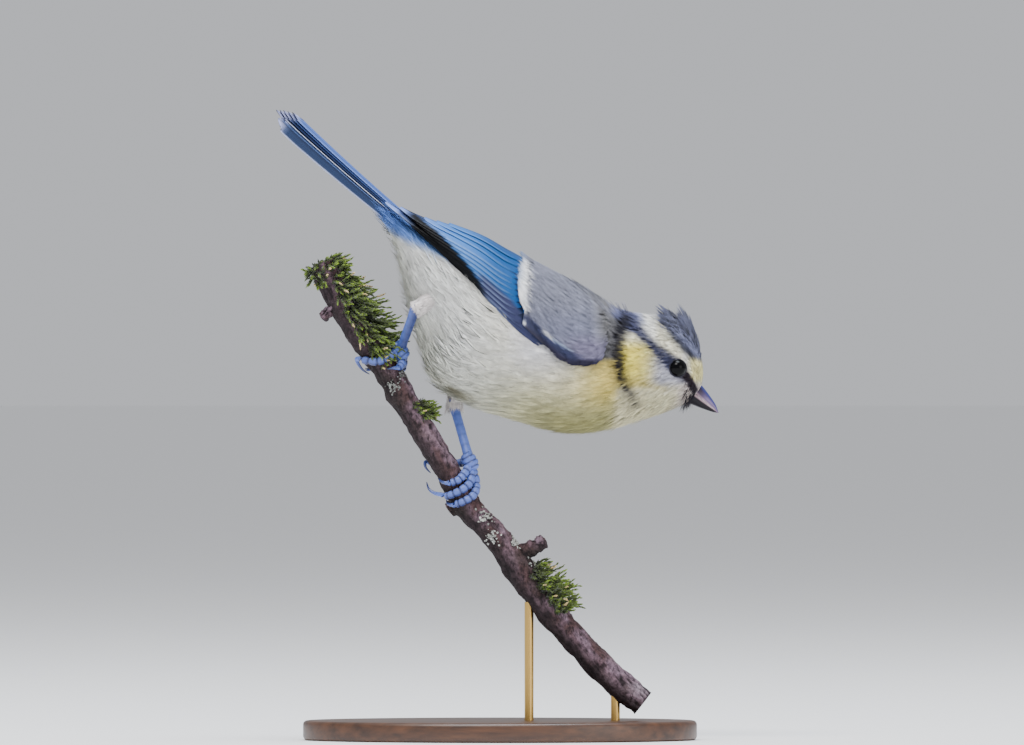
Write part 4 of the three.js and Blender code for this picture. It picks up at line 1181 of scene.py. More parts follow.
def tail_vane(side, length, section, colours, along, up):
    """One tail feather's rings of points, their shares t and q, and their colours."""
    rows, columns = 40, 11
    t = np.linspace(0, 1, rows)[:, None]
    q = np.linspace(-1, 1, columns)
    across = spline(section, (q + 1) / 2)
    spread = 0.36 + 0.64 * np.minimum(1, t * 1.1)
    tip = ramp(0.93, 1.0, t)
    centre = spline(section, np.array([0.62]))[0]
    y = across[None, :, 0] * spread
    drop = across[None, :, 1] * (0.72 + 0.28 * np.minimum(1, t * 1.2))
    y = y + (centre[0] - y) * tip * 0.3
    drop = drop + (centre[1] - drop) * tip * 0.3
    reach = length * t - TAIL_WEBS * tip * np.abs(q[None] - 0.25)
    drop = drop - TAIL["top"] - TAIL["curl"] * t**2
    shape = np.array([TAIL["x"], 0, TAIL["z"]]) + along * reach[..., None] - up * drop[..., None]
    shape[..., 1] = side * y
    thin = (1 - 0.6 * t) * (1 - 0.6 * np.abs(q[None]) ** 3)
    half = (TAIL_THICK / 2 * thin)[..., None] * up
    ring = np.concatenate([shape + half, (shape - half)[:, ::-1]], axis=1)
    qq = np.concatenate([q, q[::-1]])[None] + np.zeros((rows, 1))
    tt = t + np.zeros(qq.shape)
    web, rim = colours
    colour = plain(ring, web)
    colour = mix(colour, TAIL_ROOT, ramp(0.3, 0.05, tt) * 0.45)
    colour = mix(colour, rim, ramp(0.78, 0.94, qq) * ramp(0.08, 0.25, tt))
    colour = mix(colour, TAIL_TIP, ramp(0.9, 0.97, tt) * 0.9)
    colour = mix(colour, TAIL_SHAFT, np.exp(-(((qq - 0.2) / 0.08) ** 2)) * 0.4)
    return ring, tt, qq, colour


def make_tail():
    """Twelve tail feathers folded like a roof, each outer one lower, with the outermost hanging steeply."""
    rise = math.radians(TAIL["rise"])
    along = np.array([-math.cos(rise), 0, math.sin(rise)])
    up = np.array([math.sin(rise), 0, math.cos(rise)])
    vanes = []
    for side in (-1, 1):
        for length, section, colours in zip(TAIL_LENGTHS, TAIL_SECTIONS, TAIL_COLOURS):
            vanes.append(tail_vane(side, length, section, colours, along, up))
    vane_set("tail_feathers", vanes, VANE, "tail", ("tail",))


# Head fittings

LID_GREY = (36.0, 35.0, 46.0)
LID_RADIUS = 1.84
LID_THICKNESS = 0.2
LID_TURN = 14
LID_OFFSET = (0.1, 0.76)
BILL_UPPER = (84, 72, 108)
BILL_TIP = (52, 42, 58)
BILL_RIDGE_SHEEN = (50, 56, 116)
BILL_SIDE_SHINE = (166, 150, 184)
BILL_EDGE = (204, 172, 182)
BILL_LOWER = (20, 16, 24)
LOWER_EDGE = (220, 190, 200)
LOWER_TIP = (150, 126, 156)


def make_eye(name, side):
    """A dark wet ball in a narrow matt lid."""
    bpy.ops.object.select_all(action="DESELECT")
    centre = Vector((eye_centre.x, side * abs(eye_centre.y), eye_centre.z)) * MM
    bpy.ops.mesh.primitive_uv_sphere_add(segments=48, ring_count=32, radius=EYE_RADIUS * MM, location=centre,
                                         rotation=(HALF_TURN / 2, 0, 0))
    ball = settled(f"eyeball_{name}")
    bpy.ops.object.shade_smooth()
    finish_piece(ball, EYE, "eye", f"eye_{name}")
    turn = -side * math.radians(LID_TURN)
    offset = Vector((LID_OFFSET[0], side * LID_OFFSET[1], 0)) * MM
    bpy.ops.mesh.primitive_torus_add(major_segments=48, minor_segments=10, major_radius=LID_RADIUS * MM,
                                     minor_radius=LID_THICKNESS * MM, rotation=(HALF_TURN / 2, 0, turn),
                                     location=centre + offset)
    lid = settled(f"eyelid_{name}")
    bpy.ops.object.shade_smooth()
    paint_mesh(lid.data, np.tile(LID_GREY, (len(lid.data.vertices), 1)))
    finish_piece(lid, SKIN, "head")


BILL_FORM = {
    "x": 41.0, "z": 73.1, "droop": 30.0, "length": 6.5,
    "upper": 3.35, "lower": 1.5, "half": 2.0, "sunk": 0.35,
}


def make_bill():
    """Two mandibles that meet in a pale line, the upper one ridged and hooked."""
    droop = math.radians(BILL_FORM["droop"])
    for name, upper in (("upper", True), ("lower", False)):
        rows, around = 44, 32
        t = -BILL_FORM["sunk"] + (1 + BILL_FORM["sunk"]) * np.linspace(0, 1, rows) ** 0.8
        a = np.linspace(0, 2 * HALF_TURN, around, endpoint=False)
        taper = np.maximum(np.minimum(1, 1 - t) ** 0.74, 0.05)[:, None]
        ridge = np.maximum(0, np.cos(a))[None] ** 0.85
        mouth = 0.95 * np.clip(1 - t, 0, 1.2)[:, None] ** 1.3
        if upper:
            rise = mouth + 0.05 + (BILL_FORM["upper"] * taper - mouth) * ridge
        else:
            depth = BILL_FORM["lower"] * np.maximum(np.minimum(1, 1 - t) ** 0.6, 0.04)[:, None]
            rise = mouth - 0.05 - (depth + mouth) * ridge
        rise = rise - 0.25 * ramp(0.75, 1.0, t)[:, None] * (1 if upper else 0)
        reach = BILL_FORM["length"] * t[:, None]
        x = BILL_FORM["x"] + reach * math.cos(droop) + rise * math.sin(droop)
        z = BILL_FORM["z"] - reach * math.sin(droop) + rise * math.cos(droop)
        y = BILL_FORM["half"] * taper * np.sin(a)[None] * (1.0 if upper else 0.93)
        points = np.stack([x, y, z], -1)
        crown = ridge + np.zeros((rows, 1))
        along = np.clip(t, 0, 1)[:, None] + np.zeros((1, around))
        if upper:
            colour = plain(points, BILL_UPPER)
            colour = mix(colour, BILL_TIP, (1 - ramp(0.1, 0.38, along)) * 0.9)
            # Bluer along the top: partly the horn's own indigo and partly a painted blue sheen.
            colour = mix(colour, BILL_RIDGE_SHEEN, ramp(0.6, 0.9, crown))
            # A lavender streak along each side: partly the horn's own lilac and partly a painted highlight.
            shine = np.exp(-(((crown - 0.5) / 0.1) ** 2)) * ramp(0.25, 0.5, along)
            colour = mix(colour, BILL_SIDE_SHINE, shine * 0.6)
            colour = mix(colour, BILL_EDGE, (1 - ramp(0.08, 0.3, crown)) * 0.8)
        else:
            colour = plain(points, BILL_LOWER)
            colour = mix(colour, LOWER_EDGE, (1 - ramp(0.03, 0.2, crown)) * 0.9)
            colour = mix(colour, LOWER_TIP, ramp(0.82, 1.0, along) * 0.6)
        finish_piece(joined(f"mandible_{name}", [sleeve(points, colour)]), BILL, "bill", f"bill_{name}")


BRISTLE_DARK = (34, 29, 38)
BRISTLE_THICK = 0.08
CHIN_BRISTLES = 70
GAPE_BRISTLES = 26
WISP_GREY = (150, 150, 166)
WISP_THICK = 0.06


def add_thorn(points, faces, rings, tip, first, second):
    """Adds a three-sided spike through two rings, each a middle and a size, to its tip."""
    start = len(points)
    for centre, size in rings:
        for k in range(3):
            turn = 2 * HALF_TURN * k / 3
            points.append(centre + size * (first * math.cos(turn) + second * math.sin(turn)))
    points.append(tip)
    faces.append((start, start + 2, start + 1))
    for k in range(3):
        j = (k + 1) % 3
        faces += [
            (start + k, start + j, start + 3 + j), (start + k, start + 3 + j, start + 3 + k),
            (start + 3 + k, start + 3 + j, start + 6),
        ]


def spikes(name, roots, tips, thick, colour, material, slot_name):
    """Thin bristles, each a bent three-sided spike."""
    points, faces, colours = [], [], []
    for root, tip in zip(roots, tips):
        root, tip = np.array(root, float), np.array(tip, float)
        along = unit(tip - root)
        first = unit(np.cross(along, [0.3, 1.0, 0.2]))
        second = np.cross(along, first)
        middle = (root + tip) / 2 + np.array([0, 0, 0.06]) * np.linalg.norm(tip - root)
        add_thorn(points, faces, ((root, thick), (middle, thick * 0.7)), tip, first, second)
        colours += [colour] * 7
    piece = mesh_piece(name, np.array(points), faces, np.array(colours, float))
    return finish_piece(piece, material, slot_name)


BILL_ROOT_X = 41.2
BILL_ROOT_Z = 74.9
NAPE_WISPS = [
    ((25.6, 92.2), (24.0, 94.3)), ((26.0, 92.1), (24.9, 94.0)), ((26.9, 91.9), (25.6, 94.2)),
    ((24.6, 92.7), (22.9, 94.5)), ((27.2, 91.8), (26.3, 93.8)),
]


def make_bristles():
    """Dark bristles at the bill's base and gape, and a few loose wisps over the nape."""
    roots, tips = [], []
    for side in (-1, 1):
        for _ in range(CHIN_BRISTLES):
            t, a = rng.uniform(0.82, 0.97), side * rng.uniform(1.8, 2.95)
            root = body(np.array(t), np.array(a), np.array(-0.4))
            out = unit(body(np.array(t), np.array(a), np.array(1.0)) - root)
            roots.append(root)
            stand = out * rng.uniform(0.5, 1.1)
            tips.append(root + stand + np.array([rng.uniform(-1.6, 0.2), 0, rng.uniform(-2.0, -0.9)]))
        for _ in range(GAPE_BRISTLES):
            x = BILL_ROOT_X + rng.uniform(-0.9, 0.8)
            y = side * rng.uniform(0.9, 1.9)
            root = np.array([x, y, BILL_ROOT_Z + rng.uniform(-0.9, 0.9)])
            roots.append(root)
            ahead = rng.uniform(0.7, 1.7)
            tips.append(root + np.array([ahead, side * rng.uniform(0.05, 0.4), rng.uniform(-1.5, -0.6)]))
    spikes("face_bristles", roots, tips, BRISTLE_THICK, BRISTLE_DARK, FEATHER, "head")
    roots, tips = [], []
    for start, end in NAPE_WISPS:
        for y in (-3.2, -1.4, 0.6):
            y += rng.uniform(-0.6, 0.6)
            roots.append((start[0] + rng.uniform(-0.3, 0.3), y, start[1] - 0.7))
            x = end[0] + rng.uniform(-0.4, 0.4)
            tips.append((x, y + rng.uniform(-0.6, 0.6), end[1] + rng.uniform(-0.6, 0.2)))
    spikes("nape_wisps", roots, tips, WISP_THICK, WISP_GREY, FEATHER, "head")


# Twig, moss and lichen

BARK_MAUVE = (108, 85, 95)
BARK_BROWN = (74, 52, 52)
BARK_GREY_HIGHLIGHT = (134, 114, 130)
BARK_UNDER_SHADE = (40, 31, 34)
BARK_STAIN_AND_SHADOW = (38, 32, 28)
BARK_PALE = (176, 164, 180)
BARK_CRACK = (26, 19, 22)
# Stains of the bark, each as x, z, width and strength; the strongest, under the low moss, is a painted shadow
DARK_BARK = [
    (-24.2, 76.0, 4.0, 0.55), (-22.0, 72.0, 3.0, 0.4), (-9.0, 49.0, 3.0, 0.6), (4.5, 39.0, 3.0, 0.4),
    (8.0, 38.5, 4.0, 0.6), (10.2, 34.0, 5.0, 0.9), (13.0, 30.0, 3.0, 0.5),
]
PALE_BARK = [
    (27.0, 15.0, 6.0, 0.5), (31.0, 10.5, 5.0, 0.6), (-32.0, 96.0, 4.0, 0.25), (-14.0, 66.0, 5.0, 0.25),
]
TWIG_LINE = [
    (-37.9, 101.9), (-34.4, 94.4), (-28.8, 84.9), (-23.7, 78.0), (-19.7, 71.2), (-12.2, 59.1),
    (-6.7, 49.5), (-0.7, 43.2), (8.1, 30.7), (15.5, 22.0), (24.0, 13.2), (30.6, 7.9),
]
TWIG_THICK = 2.95
TWIG_SLIM = 2.55
SLIM_PLACE = 0.35
# Knots as (mm down, mm of swelling, spread), side shoots as (mm down, degrees round, length, width, lean)
TWIG_KNOTS = [(32.5, 0.35, 3.0), (60.0, 0.45, 2.0), (78.0, 0.55, 3.5), (89.0, 0.3, 2.5)]
TWIG_STUBS = [(9.5, 176, 5.4, 1.1, 0.9), (59.0, 182, 3.9, 1.5, 0.2), (75.5, 4, 8.2, 1.5, 0.8)]
twig_fine = spline([(x, 0, z) for x, z in TWIG_LINE], np.linspace(0, 1, 600))
twig_steps = np.concatenate([[0], np.cumsum(np.linalg.norm(np.diff(twig_fine, axis=0), axis=1))])
TWIG_LENGTH = twig_steps[-1]


def twig_at(down):
    """The twig's middle, mm down it, and its direction there."""
    down = np.asarray(down, float)
    place = np.stack([np.interp(down, twig_steps, twig_fine[:, k]) for k in range(3)], -1)
    ahead = np.stack([np.interp(down + 0.5, twig_steps, twig_fine[:, k]) for k in range(3)], -1)
    behind = np.stack([np.interp(down - 0.5, twig_steps, twig_fine[:, k]) for k in range(3)], -1)
    return place, unit(ahead - behind)


def twig_radius(down):
    """The twig's radius, mm down it: thick at its ends, slim between them and swollen at its knots."""
    t = down / TWIG_LENGTH
    thinner = TWIG_THICK - TWIG_SLIM
    upper = TWIG_THICK - thinner * t / SLIM_PLACE
    lower = TWIG_SLIM + thinner * (t - SLIM_PLACE) / (1 - SLIM_PLACE)
    radius = np.where(t < SLIM_PLACE, upper, lower)
    return radius + sum(swell * np.exp(-(((down - at) / spread) ** 2)) for at, swell, spread in TWIG_KNOTS)


def by_twig(down, turn, out):
    """mm down the twig, degrees round it from its upper side towards -Y, and mm out from its middle."""
    place, along = twig_at(down)
    up = np.stack([-along[..., 2], np.zeros(along.shape[:-1]), along[..., 0]], -1)
    turn = np.radians(np.asarray(turn, float))
    out = np.asarray(out, float)[..., None]
    near = np.array([0.0, -1.0, 0.0])
    return place + up * out * np.cos(turn)[..., None] + near * out * np.sin(turn)[..., None]


def rough(points, scale, strength, seed=0.0):
    """How far bark stands out at points, in mm."""
    shift = Vector((seed, seed, 0))
    values = [noise.fractal(Vector(p) * scale + shift, 0.9, 2.1, 5) for p in points.reshape(-1, 3)]
    return np.array(values).reshape(points.shape[:-1]) * strength


def bark_colour(points, normal, relief):
    """Purple-brown bark, with painted shade underneath, dark in its cracks and round its knots, with a
    painted shadow under the low moss, and greyer on top, partly in its own patches and partly as a painted
    highlight.
    """
    blotch = rough(points, 0.3, 1.0, 21.0)
    colour = plain(points, BARK_MAUVE)
    colour = mix(colour, BARK_BROWN, ramp(0.0, 0.35, blotch) * 0.8)
    # Greyer on top: partly the bark's own grey patches and partly a painted highlight.
    colour = mix(colour, BARK_GREY_HIGHLIGHT, ramp(0.0, -0.35, blotch) * ramp(0.0, 0.8, normal[..., 2] + 0.3) * 0.7)
    # Painted shade on the underside.
    colour = mix(colour, BARK_UNDER_SHADE, ramp(0.2, -0.7, normal[..., 2] + 0.5 * normal[..., 0]) * 0.85)
    # Stains, and under the low moss a painted shadow.
    for cx, cz, size, share in DARK_BARK:
        near = np.hypot(points[..., 0] - cx, points[..., 2] - cz)
        colour = mix(colour, BARK_STAIN_AND_SHADOW, (1 - ramp(0.3 * size, size, near)) * share)
    for cx, cz, size, share in PALE_BARK:
        near = np.hypot(points[..., 0] - cx, points[..., 2] - cz)
        worn = (1 - ramp(0.3 * size, size, near)) * ramp(-0.1, 0.3, blotch + 0.1)
        colour = mix(colour, BARK_PALE, worn * share)
    return mix(colour, BARK_CRACK, ramp(0.0, -0.3, relief) * 0.85)


def stub_taper(t):
    """How the width of a broken side shoot falls from its root to its blunt tip."""
    return (1.35 - 0.45 * t) * np.sqrt(1 - ramp(0.9, 1.0, t) * 0.7)


def make_twig():
    """The twig: a bent tube of rough, scarred bark with knots and three broken side shoots."""
    rows, around = 420, 72
    down = np.linspace(0.05, TWIG_LENGTH - 0.05, rows)
    turn = np.linspace(0, 360, around, endpoint=False)
    dd, tt = np.meshgrid(down, turn, indexing="ij")
    radius = twig_radius(dd)
    bare = by_twig(dd, tt, radius)
    relief = rough(bare, 0.35, 0.32) + rough(bare, 1.1, 0.26, 7.0) + rough(bare, 2.6, 0.14, 3.0)
    scars = np.sin(dd * 1.9 + 1.3 * np.sin(dd * 0.37) + 0.5 * np.sin(np.radians(tt) * 2)) ** 8
    relief = relief + 0.12 * scars
    ends = 1 - ramp(0.8, 0.0, dd) * 0.25 - ramp(TWIG_LENGTH - 0.5, TWIG_LENGTH, dd) * 0.05
    points = by_twig(dd, tt, np.clip(radius + relief, radius - 0.5, radius + 0.4) * ends)
    normal = unit(points - by_twig(dd, tt, np.zeros(dd.shape)))
    tubes = [sleeve(points, bark_colour(points, normal, relief))]
    for at, round_, length, thick, lean in TWIG_STUBS:
        line = [
            by_twig(at, round_, 0.5),
            by_twig(at + lean * 0.6, round_, length * 0.6),
            by_twig(at + lean, round_, length),
        ]
        ring, _ = tube_points(line, lambda t: thick * stub_taper(t), 40, 32)
        relief = rough(ring, 0.7, 0.5, at) + rough(ring, 2.2, 0.16, at)
        centre = ring.mean(1, keepdims=True)
        normal = unit(ring - centre)
        ring = ring + normal * relief[..., None]
        tubes.append(sleeve(ring, bark_colour(ring, normal, relief)))
    finish_piece(joined("twig", tubes), BARK, "bark", "perch_twig")


MOSS_FOOT = (34, 46, 10)
MOSS_FRESH = (142, 164, 40)
MOSS_TAN = (196, 172, 120)
MOSS_TIP_HIGHLIGHT = (18, 16, 8)
# Patches as (name, mm down, degrees round, shoots, shoot lengths, upward lean)
MOSS_PATCHES = [
    ("top", (-0.3, 4.2), (-110, 250), 90, (2.0, 3.4), 0.1),
    ("side", (4.5, 25.0), (-80, 88), 330, (4.2, 7.4), -0.45),
    ("small", (36.4, 40.4), (-50, 62), 52, (2.6, 3.8), -0.1),
    ("low", (79.2, 91.5), (-70, 76), 160, (3.4, 6.0), 0.1),
]


def make_moss():
    """Patches of moss shoots, each a stem of leaves that bends over, dark at its foot partly in its own
    colour and partly in painted shade, and each leaf with painted shade at its root and a painted highlight
    at its tip.
    """
    for name, down, turn, count, reach, droop in MOSS_PATCHES:
        points, faces, colours = [], [], []
        for _ in range(count):
            at, round_ = rng.uniform(*down), rng.uniform(*turn)
            edge = 1 - 0.5 * abs(2 * (at - down[0]) / (down[1] - down[0]) - 1) ** 3
            middle = (turn[0] + turn[1]) / 2
            edge *= 1 - 0.45 * abs(2 * (round_ - middle) / (turn[1] - turn[0])) ** 3
            base = by_twig(at, round_, twig_radius(at) - 0.3)
            outward = unit(by_twig(at, round_, 6.0) - by_twig(at, round_, 0.0))
            lean = np.array([rng.normal(0.3, 0.35), rng.normal(0, 0.35), rng.normal(droop, 0.35)])
            tip_way = unit(outward + lean)
            bend = unit(tip_way + np.array([0.35, 0, rng.uniform(-0.9, 0.5)]))
            stem = rng.uniform(*reach) * edge
            fresh, tan = rng.uniform(0, 1), rng.uniform(0, 1) < 0.08
            leaves = 9 + int(stem * 1.6)
            for leaf in range(leaves):
                s = (leaf + 0.5) / leaves
                root = base + tip_way * stem * s * (1 - 0.4 * s) + bend * stem * 0.45 * s * s
                way = unit(tip_way * (1 - s) + bend * s)
                side = unit(np.cross(way, rng.normal(0, 1, 3)))
                leaf_way = unit(way * (0.7 + 0.7 * s) + side * (0.8 - 0.5 * s))
                long = rng.uniform(0.75, 1.2) * (1.3 - 0.5 * s)
                first = unit(np.cross(leaf_way, side + 0.01))
                second = np.cross(leaf_way, first)
                rings = ((root, 0.16), (root + leaf_way * long * 0.45, 0.22))
                add_thorn(points, faces, rings, root + leaf_way * long, first, 0.55 * second)
                # Each shoot darker at its foot: partly its own colour and partly painted shade deep in the
                # patch.
                tint = np.array(MOSS_FOOT) * (1 - s) + np.array(MOSS_FRESH) * s
                tint = tint * (0.5 + 0.4 * fresh) * np.array((0.92, 1.0, 0.55))
                if tan and s > 0.7:
                    tint = np.array(MOSS_TAN)
                # Painted shade at each leaf's root and a painted highlight at its tip.
                colours += [tint * 0.7] * 3 + [tint] * 3 + [tint * 1.25 + np.array(MOSS_TIP_HIGHLIGHT)]
        moss = mesh_piece(f"moss_{name}", np.array(points), faces, np.array(colours, float))
        finish_piece(moss, MOSS, "moss", f"perch_moss_{name}")


LICHEN_RIM = (104, 104, 102)
LICHEN_FACE = (160, 162, 158)
LICHEN_HUB = (138, 140, 136)
LICHEN_FOOT = (70, 70, 70)
LOWER_CRUSTS = 60
LOWER_PALER = 1.35
LICHEN_SPOTS = [
    ((-3.2, 47.9), 2.1), ((-1.6, 43.2), 1.9), ((3.4, 42.2), 1.6), ((8.4, 42.4), 1.5), ((8.9, 37.2), 2.6),
    ((10.6, 34.6), 1.6), ((-20.6, 78.0), 1.6), ((-22.6, 75.4), 1.9),
]


def make_lichen():
    """Crusts of small pale lobes on the bark."""
    points, faces, colours = [], [], []
    for (cx, cz), size in LICHEN_SPOTS:
        for _ in range(int(26 * size)):
            x, z = cx + rng.normal(0, size * 0.4), cz + rng.normal(0, size * 0.4)
            flat = np.linalg.norm(twig_fine[:, [0, 2]] - [x, z], axis=1)
            at = twig_steps[flat.argmin()]
            middle, along = twig_at(at)
            up = np.array([-along[2], 0, along[0]])
            off = np.clip((np.array([x, 0, z]) - middle) @ up / twig_radius(at), -0.97, 0.97)
            turn = math.degrees(math.acos(off))
            centre = by_twig(at, turn, twig_radius(at) + rng.uniform(0.1, 0.35))
            normal = unit(centre - middle + rng.normal(0, 0.6, 3))
            first = unit(np.cross(normal, [0.2, 0.9, 0.3]))
            second = np.cross(normal, first)
            lobe, sides = rng.uniform(0.12, 0.3), 6
            start = len(points)
            for ring, lift in ((1.0, -0.1), (0.72, 0.1)):
                for k in range(sides):
                    angle = 2 * HALF_TURN * (k + rng.uniform(-0.25, 0.25)) / sides
                    grow = lobe * ring * rng.uniform(0.6, 1.4)
                    away = grow * (first * math.cos(angle) + second * math.sin(angle))
                    points.append(centre + away + normal * lift)
            points += [centre + normal * 0.08, centre - normal * 0.25]
            top = start + sides
            hub = top + sides
            for k in range(sides):
                j = (k + 1) % sides
                faces += [
                    (start + k, start + j, top + j), (start + k, top + j, top + k),
                    (top + k, top + j, hub), (start + j, start + k, hub + 1),
                ]
            shade = rng.uniform(0.62, 1.0) * (1.0 if cz > LOWER_CRUSTS else LOWER_PALER)
            colours += [np.array(LICHEN_RIM) * shade] * sides + [np.array(LICHEN_FACE) * shade] * sides
            colours += [np.array(LICHEN_HUB) * shade, np.array(LICHEN_FOOT)]
    lichen = mesh_piece("lichen", np.array(points), faces, np.array(colours, float), smooth=False)
    finish_piece(lichen, LICHEN, "bark")


# Legs and feet, each toe and claw placed by the twig as (mm down, degrees round, mm out). A tuft is the
# thigh feathers' shortest and longest, and the share by which they shorten at the heel

LEGS = {
    "right": {
        "thigh": [(-11.0, -8.6, 94.6), (-15.0, -9.6, 93.2), (-18.1, -9.4, 91.6)],
        "thigh_radius": [2.9, 2.7, 1.5],
        "tuft": (1.9, 2.8, 0.6),
        "heel": (-17.8, -9.3, 92.4), "palm": (25.4, 12, 5.0),
        "toes": {
            1: ([(25.2, 26, 4.2), (24.9, 58, 3.75), (24.3, 95, 3.75), (22.0, 138, 3.75)],
                [(21.5, 146, 3.75), (21.3, 158, 3.85), (22.4, 168, 4.0), (23.9, 174, 3.9),
                 (25.4, 178, 3.35)]),
            2: ([(26.3, 12, 4.6), (27.6, 26, 3.9), (27.9, 46, 3.75)],
                [(27.8, 52, 3.7), (27.3, 68, 3.75), (26.8, 84, 3.3)]),
            3: ([(25.6, -8, 4.6), (25.6, -45, 3.8), (25.4, -85, 3.75), (24.9, -122, 3.75)],
                [(24.7, -129, 3.75), (24.2, -146, 3.9), (23.8, -160, 3.4)]),
            4: ([(26.4, 0, 4.9), (28.1, -30, 3.9), (28.7, -62, 3.75), (28.6, -98, 3.75)],
                [(28.5, -105, 3.75), (28.2, -122, 3.85), (27.8, -138, 3.35)]),
        },
    },
    "left": {
        "thigh": [(-7.2, 5.6, 79.5), (-9.3, 5.5, 75.5), (-9.7, 5.2, 71.3)],
        "thigh_radius": [3.2, 2.6, 1.7],
        "tuft": (3.2, 4.6, 0.15),
        "heel": (-10.2, 5.2, 72.4), "palm": (52.6, 8, 5.2),
        "toes": {
            1: ([(52.3, -8, 4.6), (51.7, -45, 3.8), (50.6, -85, 3.75), (48.8, -124, 3.75)],
                [(48.3, -134, 3.65), (48.0, -150, 3.65), (49.0, -166, 3.75), (50.6, -174, 3.35)]),
            2: ([(53.4, 16, 4.6), (54.3, 44, 3.8), (54.8, 72, 3.75), (54.6, 100, 3.75)],
                [(54.4, 106, 3.75), (53.6, 122, 3.9), (52.4, 138, 3.4)]),
            3: ([(54.2, 10, 4.8), (56.3, 34, 3.9), (57.0, 72, 3.75), (56.9, 112, 3.75), (56.6, 140, 3.9)],
                [(56.0, 147, 4.0), (54.9, 162, 4.9), (53.5, 170, 5.4), (51.9, 173, 5.05)]),
            4: ([(54.0, 2, 5.0), (57.4, 10, 4.1), (59.2, 46, 3.8), (59.4, 88, 3.75), (59.0, 122, 3.75)],
                [(58.9, 129, 3.75), (58.2, 145, 3.9), (57.3, 158, 3.4)]),
        },
    },
}
LEG_BLUE = (84, 108, 190)
LEG_TOP_HIGHLIGHT = (116, 136, 206)
LEG_JOINT_AND_UNDER_SHADE = (26, 32, 68)
CLAW_BLUE = (84, 108, 188)
CLAW_DARK = (30, 40, 82)
THIGH_PALE = (238, 230, 228)
THIGH_FEATHERS = 480
PALM_RADIUS = 1.62
PALM_HALF = 2.1
TOE_RADII = (0.92, 0.74)
SCUTE_LENGTH = 1.35
CLAW_RADIUS = 0.56
CLAW_POINT = 0.06


def scaled(t, scutes):
    """A saw of overlapping scutes along a toe or leg: height and how near a joint between two is."""
    s = (t * scutes) % 1.0
    return 0.5 - (s - 0.35) ** 2, np.exp(-(((s - np.round(s)) / 0.13) ** 2))


def limb(line, radius, rows, around, scutes, flat=1.0, swell=0.12):
    """A scaled length of leg or toe: a tube that swells between the joints of its scutes."""
    ring, t = tube_points(line, radius, rows, around, flat)
    centre = ring.mean(1, keepdims=True)
    height, joint = scaled(t, scutes)
    ring = centre + (ring - centre) * (1 + swell * height - swell * joint)[:, None, None]
    normal = unit(ring - centre)
    colour = plain(ring, LEG_BLUE)
    # Painted highlight on the upper side and painted shade on the underside; the dark joints between the
    # scutes are the leg's own.
    colour = mix(colour, LEG_TOP_HIGHLIGHT, ramp(0.1, 0.9, normal[..., 2]) * 0.6)
    colour = mix(colour, LEG_JOINT_AND_UNDER_SHADE, ramp(0.0, -0.9, normal[..., 2]) * 0.6)
    colour = mix(colour, LEG_JOINT_AND_UNDER_SHADE, joint[:, None] * min(0.75, 6 * swell) + np.zeros(normal.shape[:2]))
    return ring, colour


def rounded(t, root, tip):
    """A radius from root to tip, rounded off at both ends."""
    ends = (1 - ramp(0, 0.09, t)) * 0.75 + ramp(0.93, 1.0, t) * 0.8
    return (root + (tip - root) * t) * np.sqrt(1 - ends)


def shank_radius(t):
    """The leg's radius from its heel to its foot."""
    return 1.2 - 0.22 * np.minimum(1, 3 * t) + 0.35 * ramp(0.75, 1.0, t)


def palm_radius(t):
    """The radius of the foot's palm, a short bar along the twig."""
    return PALM_RADIUS * np.sqrt(1 - 0.8 * (2 * t - 1) ** 2)


def make_legs():
    """Each scaled leg, its foot and toes round the twig, its claws, and its feathered thigh."""
    for name, leg in LEGS.items():
        foot = by_twig(*leg["palm"])
        heel = np.array(leg["heel"])
        line = [heel + (heel - foot) * 0.02, heel * 0.5 + foot * 0.5, foot]
        shank = limb(line, shank_radius, 90, 28, 7, 0.8, 0.025)
        finish_piece(joined(f"tarsus_{name}", [sleeve(*shank)]), LEG, "leg", f"shank_{name}")
        _, along = twig_at(leg["palm"][0])
        ends = [foot + along * k * PALM_HALF for k in (-1, 0, 1)]
        pieces = [limb(ends, palm_radius, 30, 28, 4)]
        for number, (path, claw) in leg["toes"].items():
            places = [by_twig(*p) for p in path]
            reach = sum(np.linalg.norm(np.subtract(a, b)) for a, b in zip(places, places[1:]))
            scutes = max(3, round(reach / SCUTE_LENGTH))
            pieces.append(limb(places, lambda t: rounded(t, *TOE_RADII), 110, 20, scutes, 1.0, 0.2))
            hook = [by_twig(*p) for p in claw]
            hook.insert(0, np.array(places[-1]) * 0.35 + np.array(hook[0]) * 0.65)
            ring, t = tube_points(hook, lambda t: CLAW_RADIUS * (1 - t) ** 0.75 + CLAW_POINT, 40, 14, 0.75)
            dark = ramp(0.3, 1.0, t)[:, None] + np.zeros(ring.shape[:2])
            colour = mix(plain(ring, CLAW_BLUE), CLAW_DARK, dark)
            talon = joined(f"talon_{name}_{number}", [sleeve(ring, colour)])
            finish_piece(talon, CLAW, "claw", f"claw_{name}_{number}")
        toes = joined(f"toes_{name}", [sleeve(*piece) for piece in pieces])
        finish_piece(toes, LEG, "leg", f"foot_{name}")
        make_thigh(name, leg)


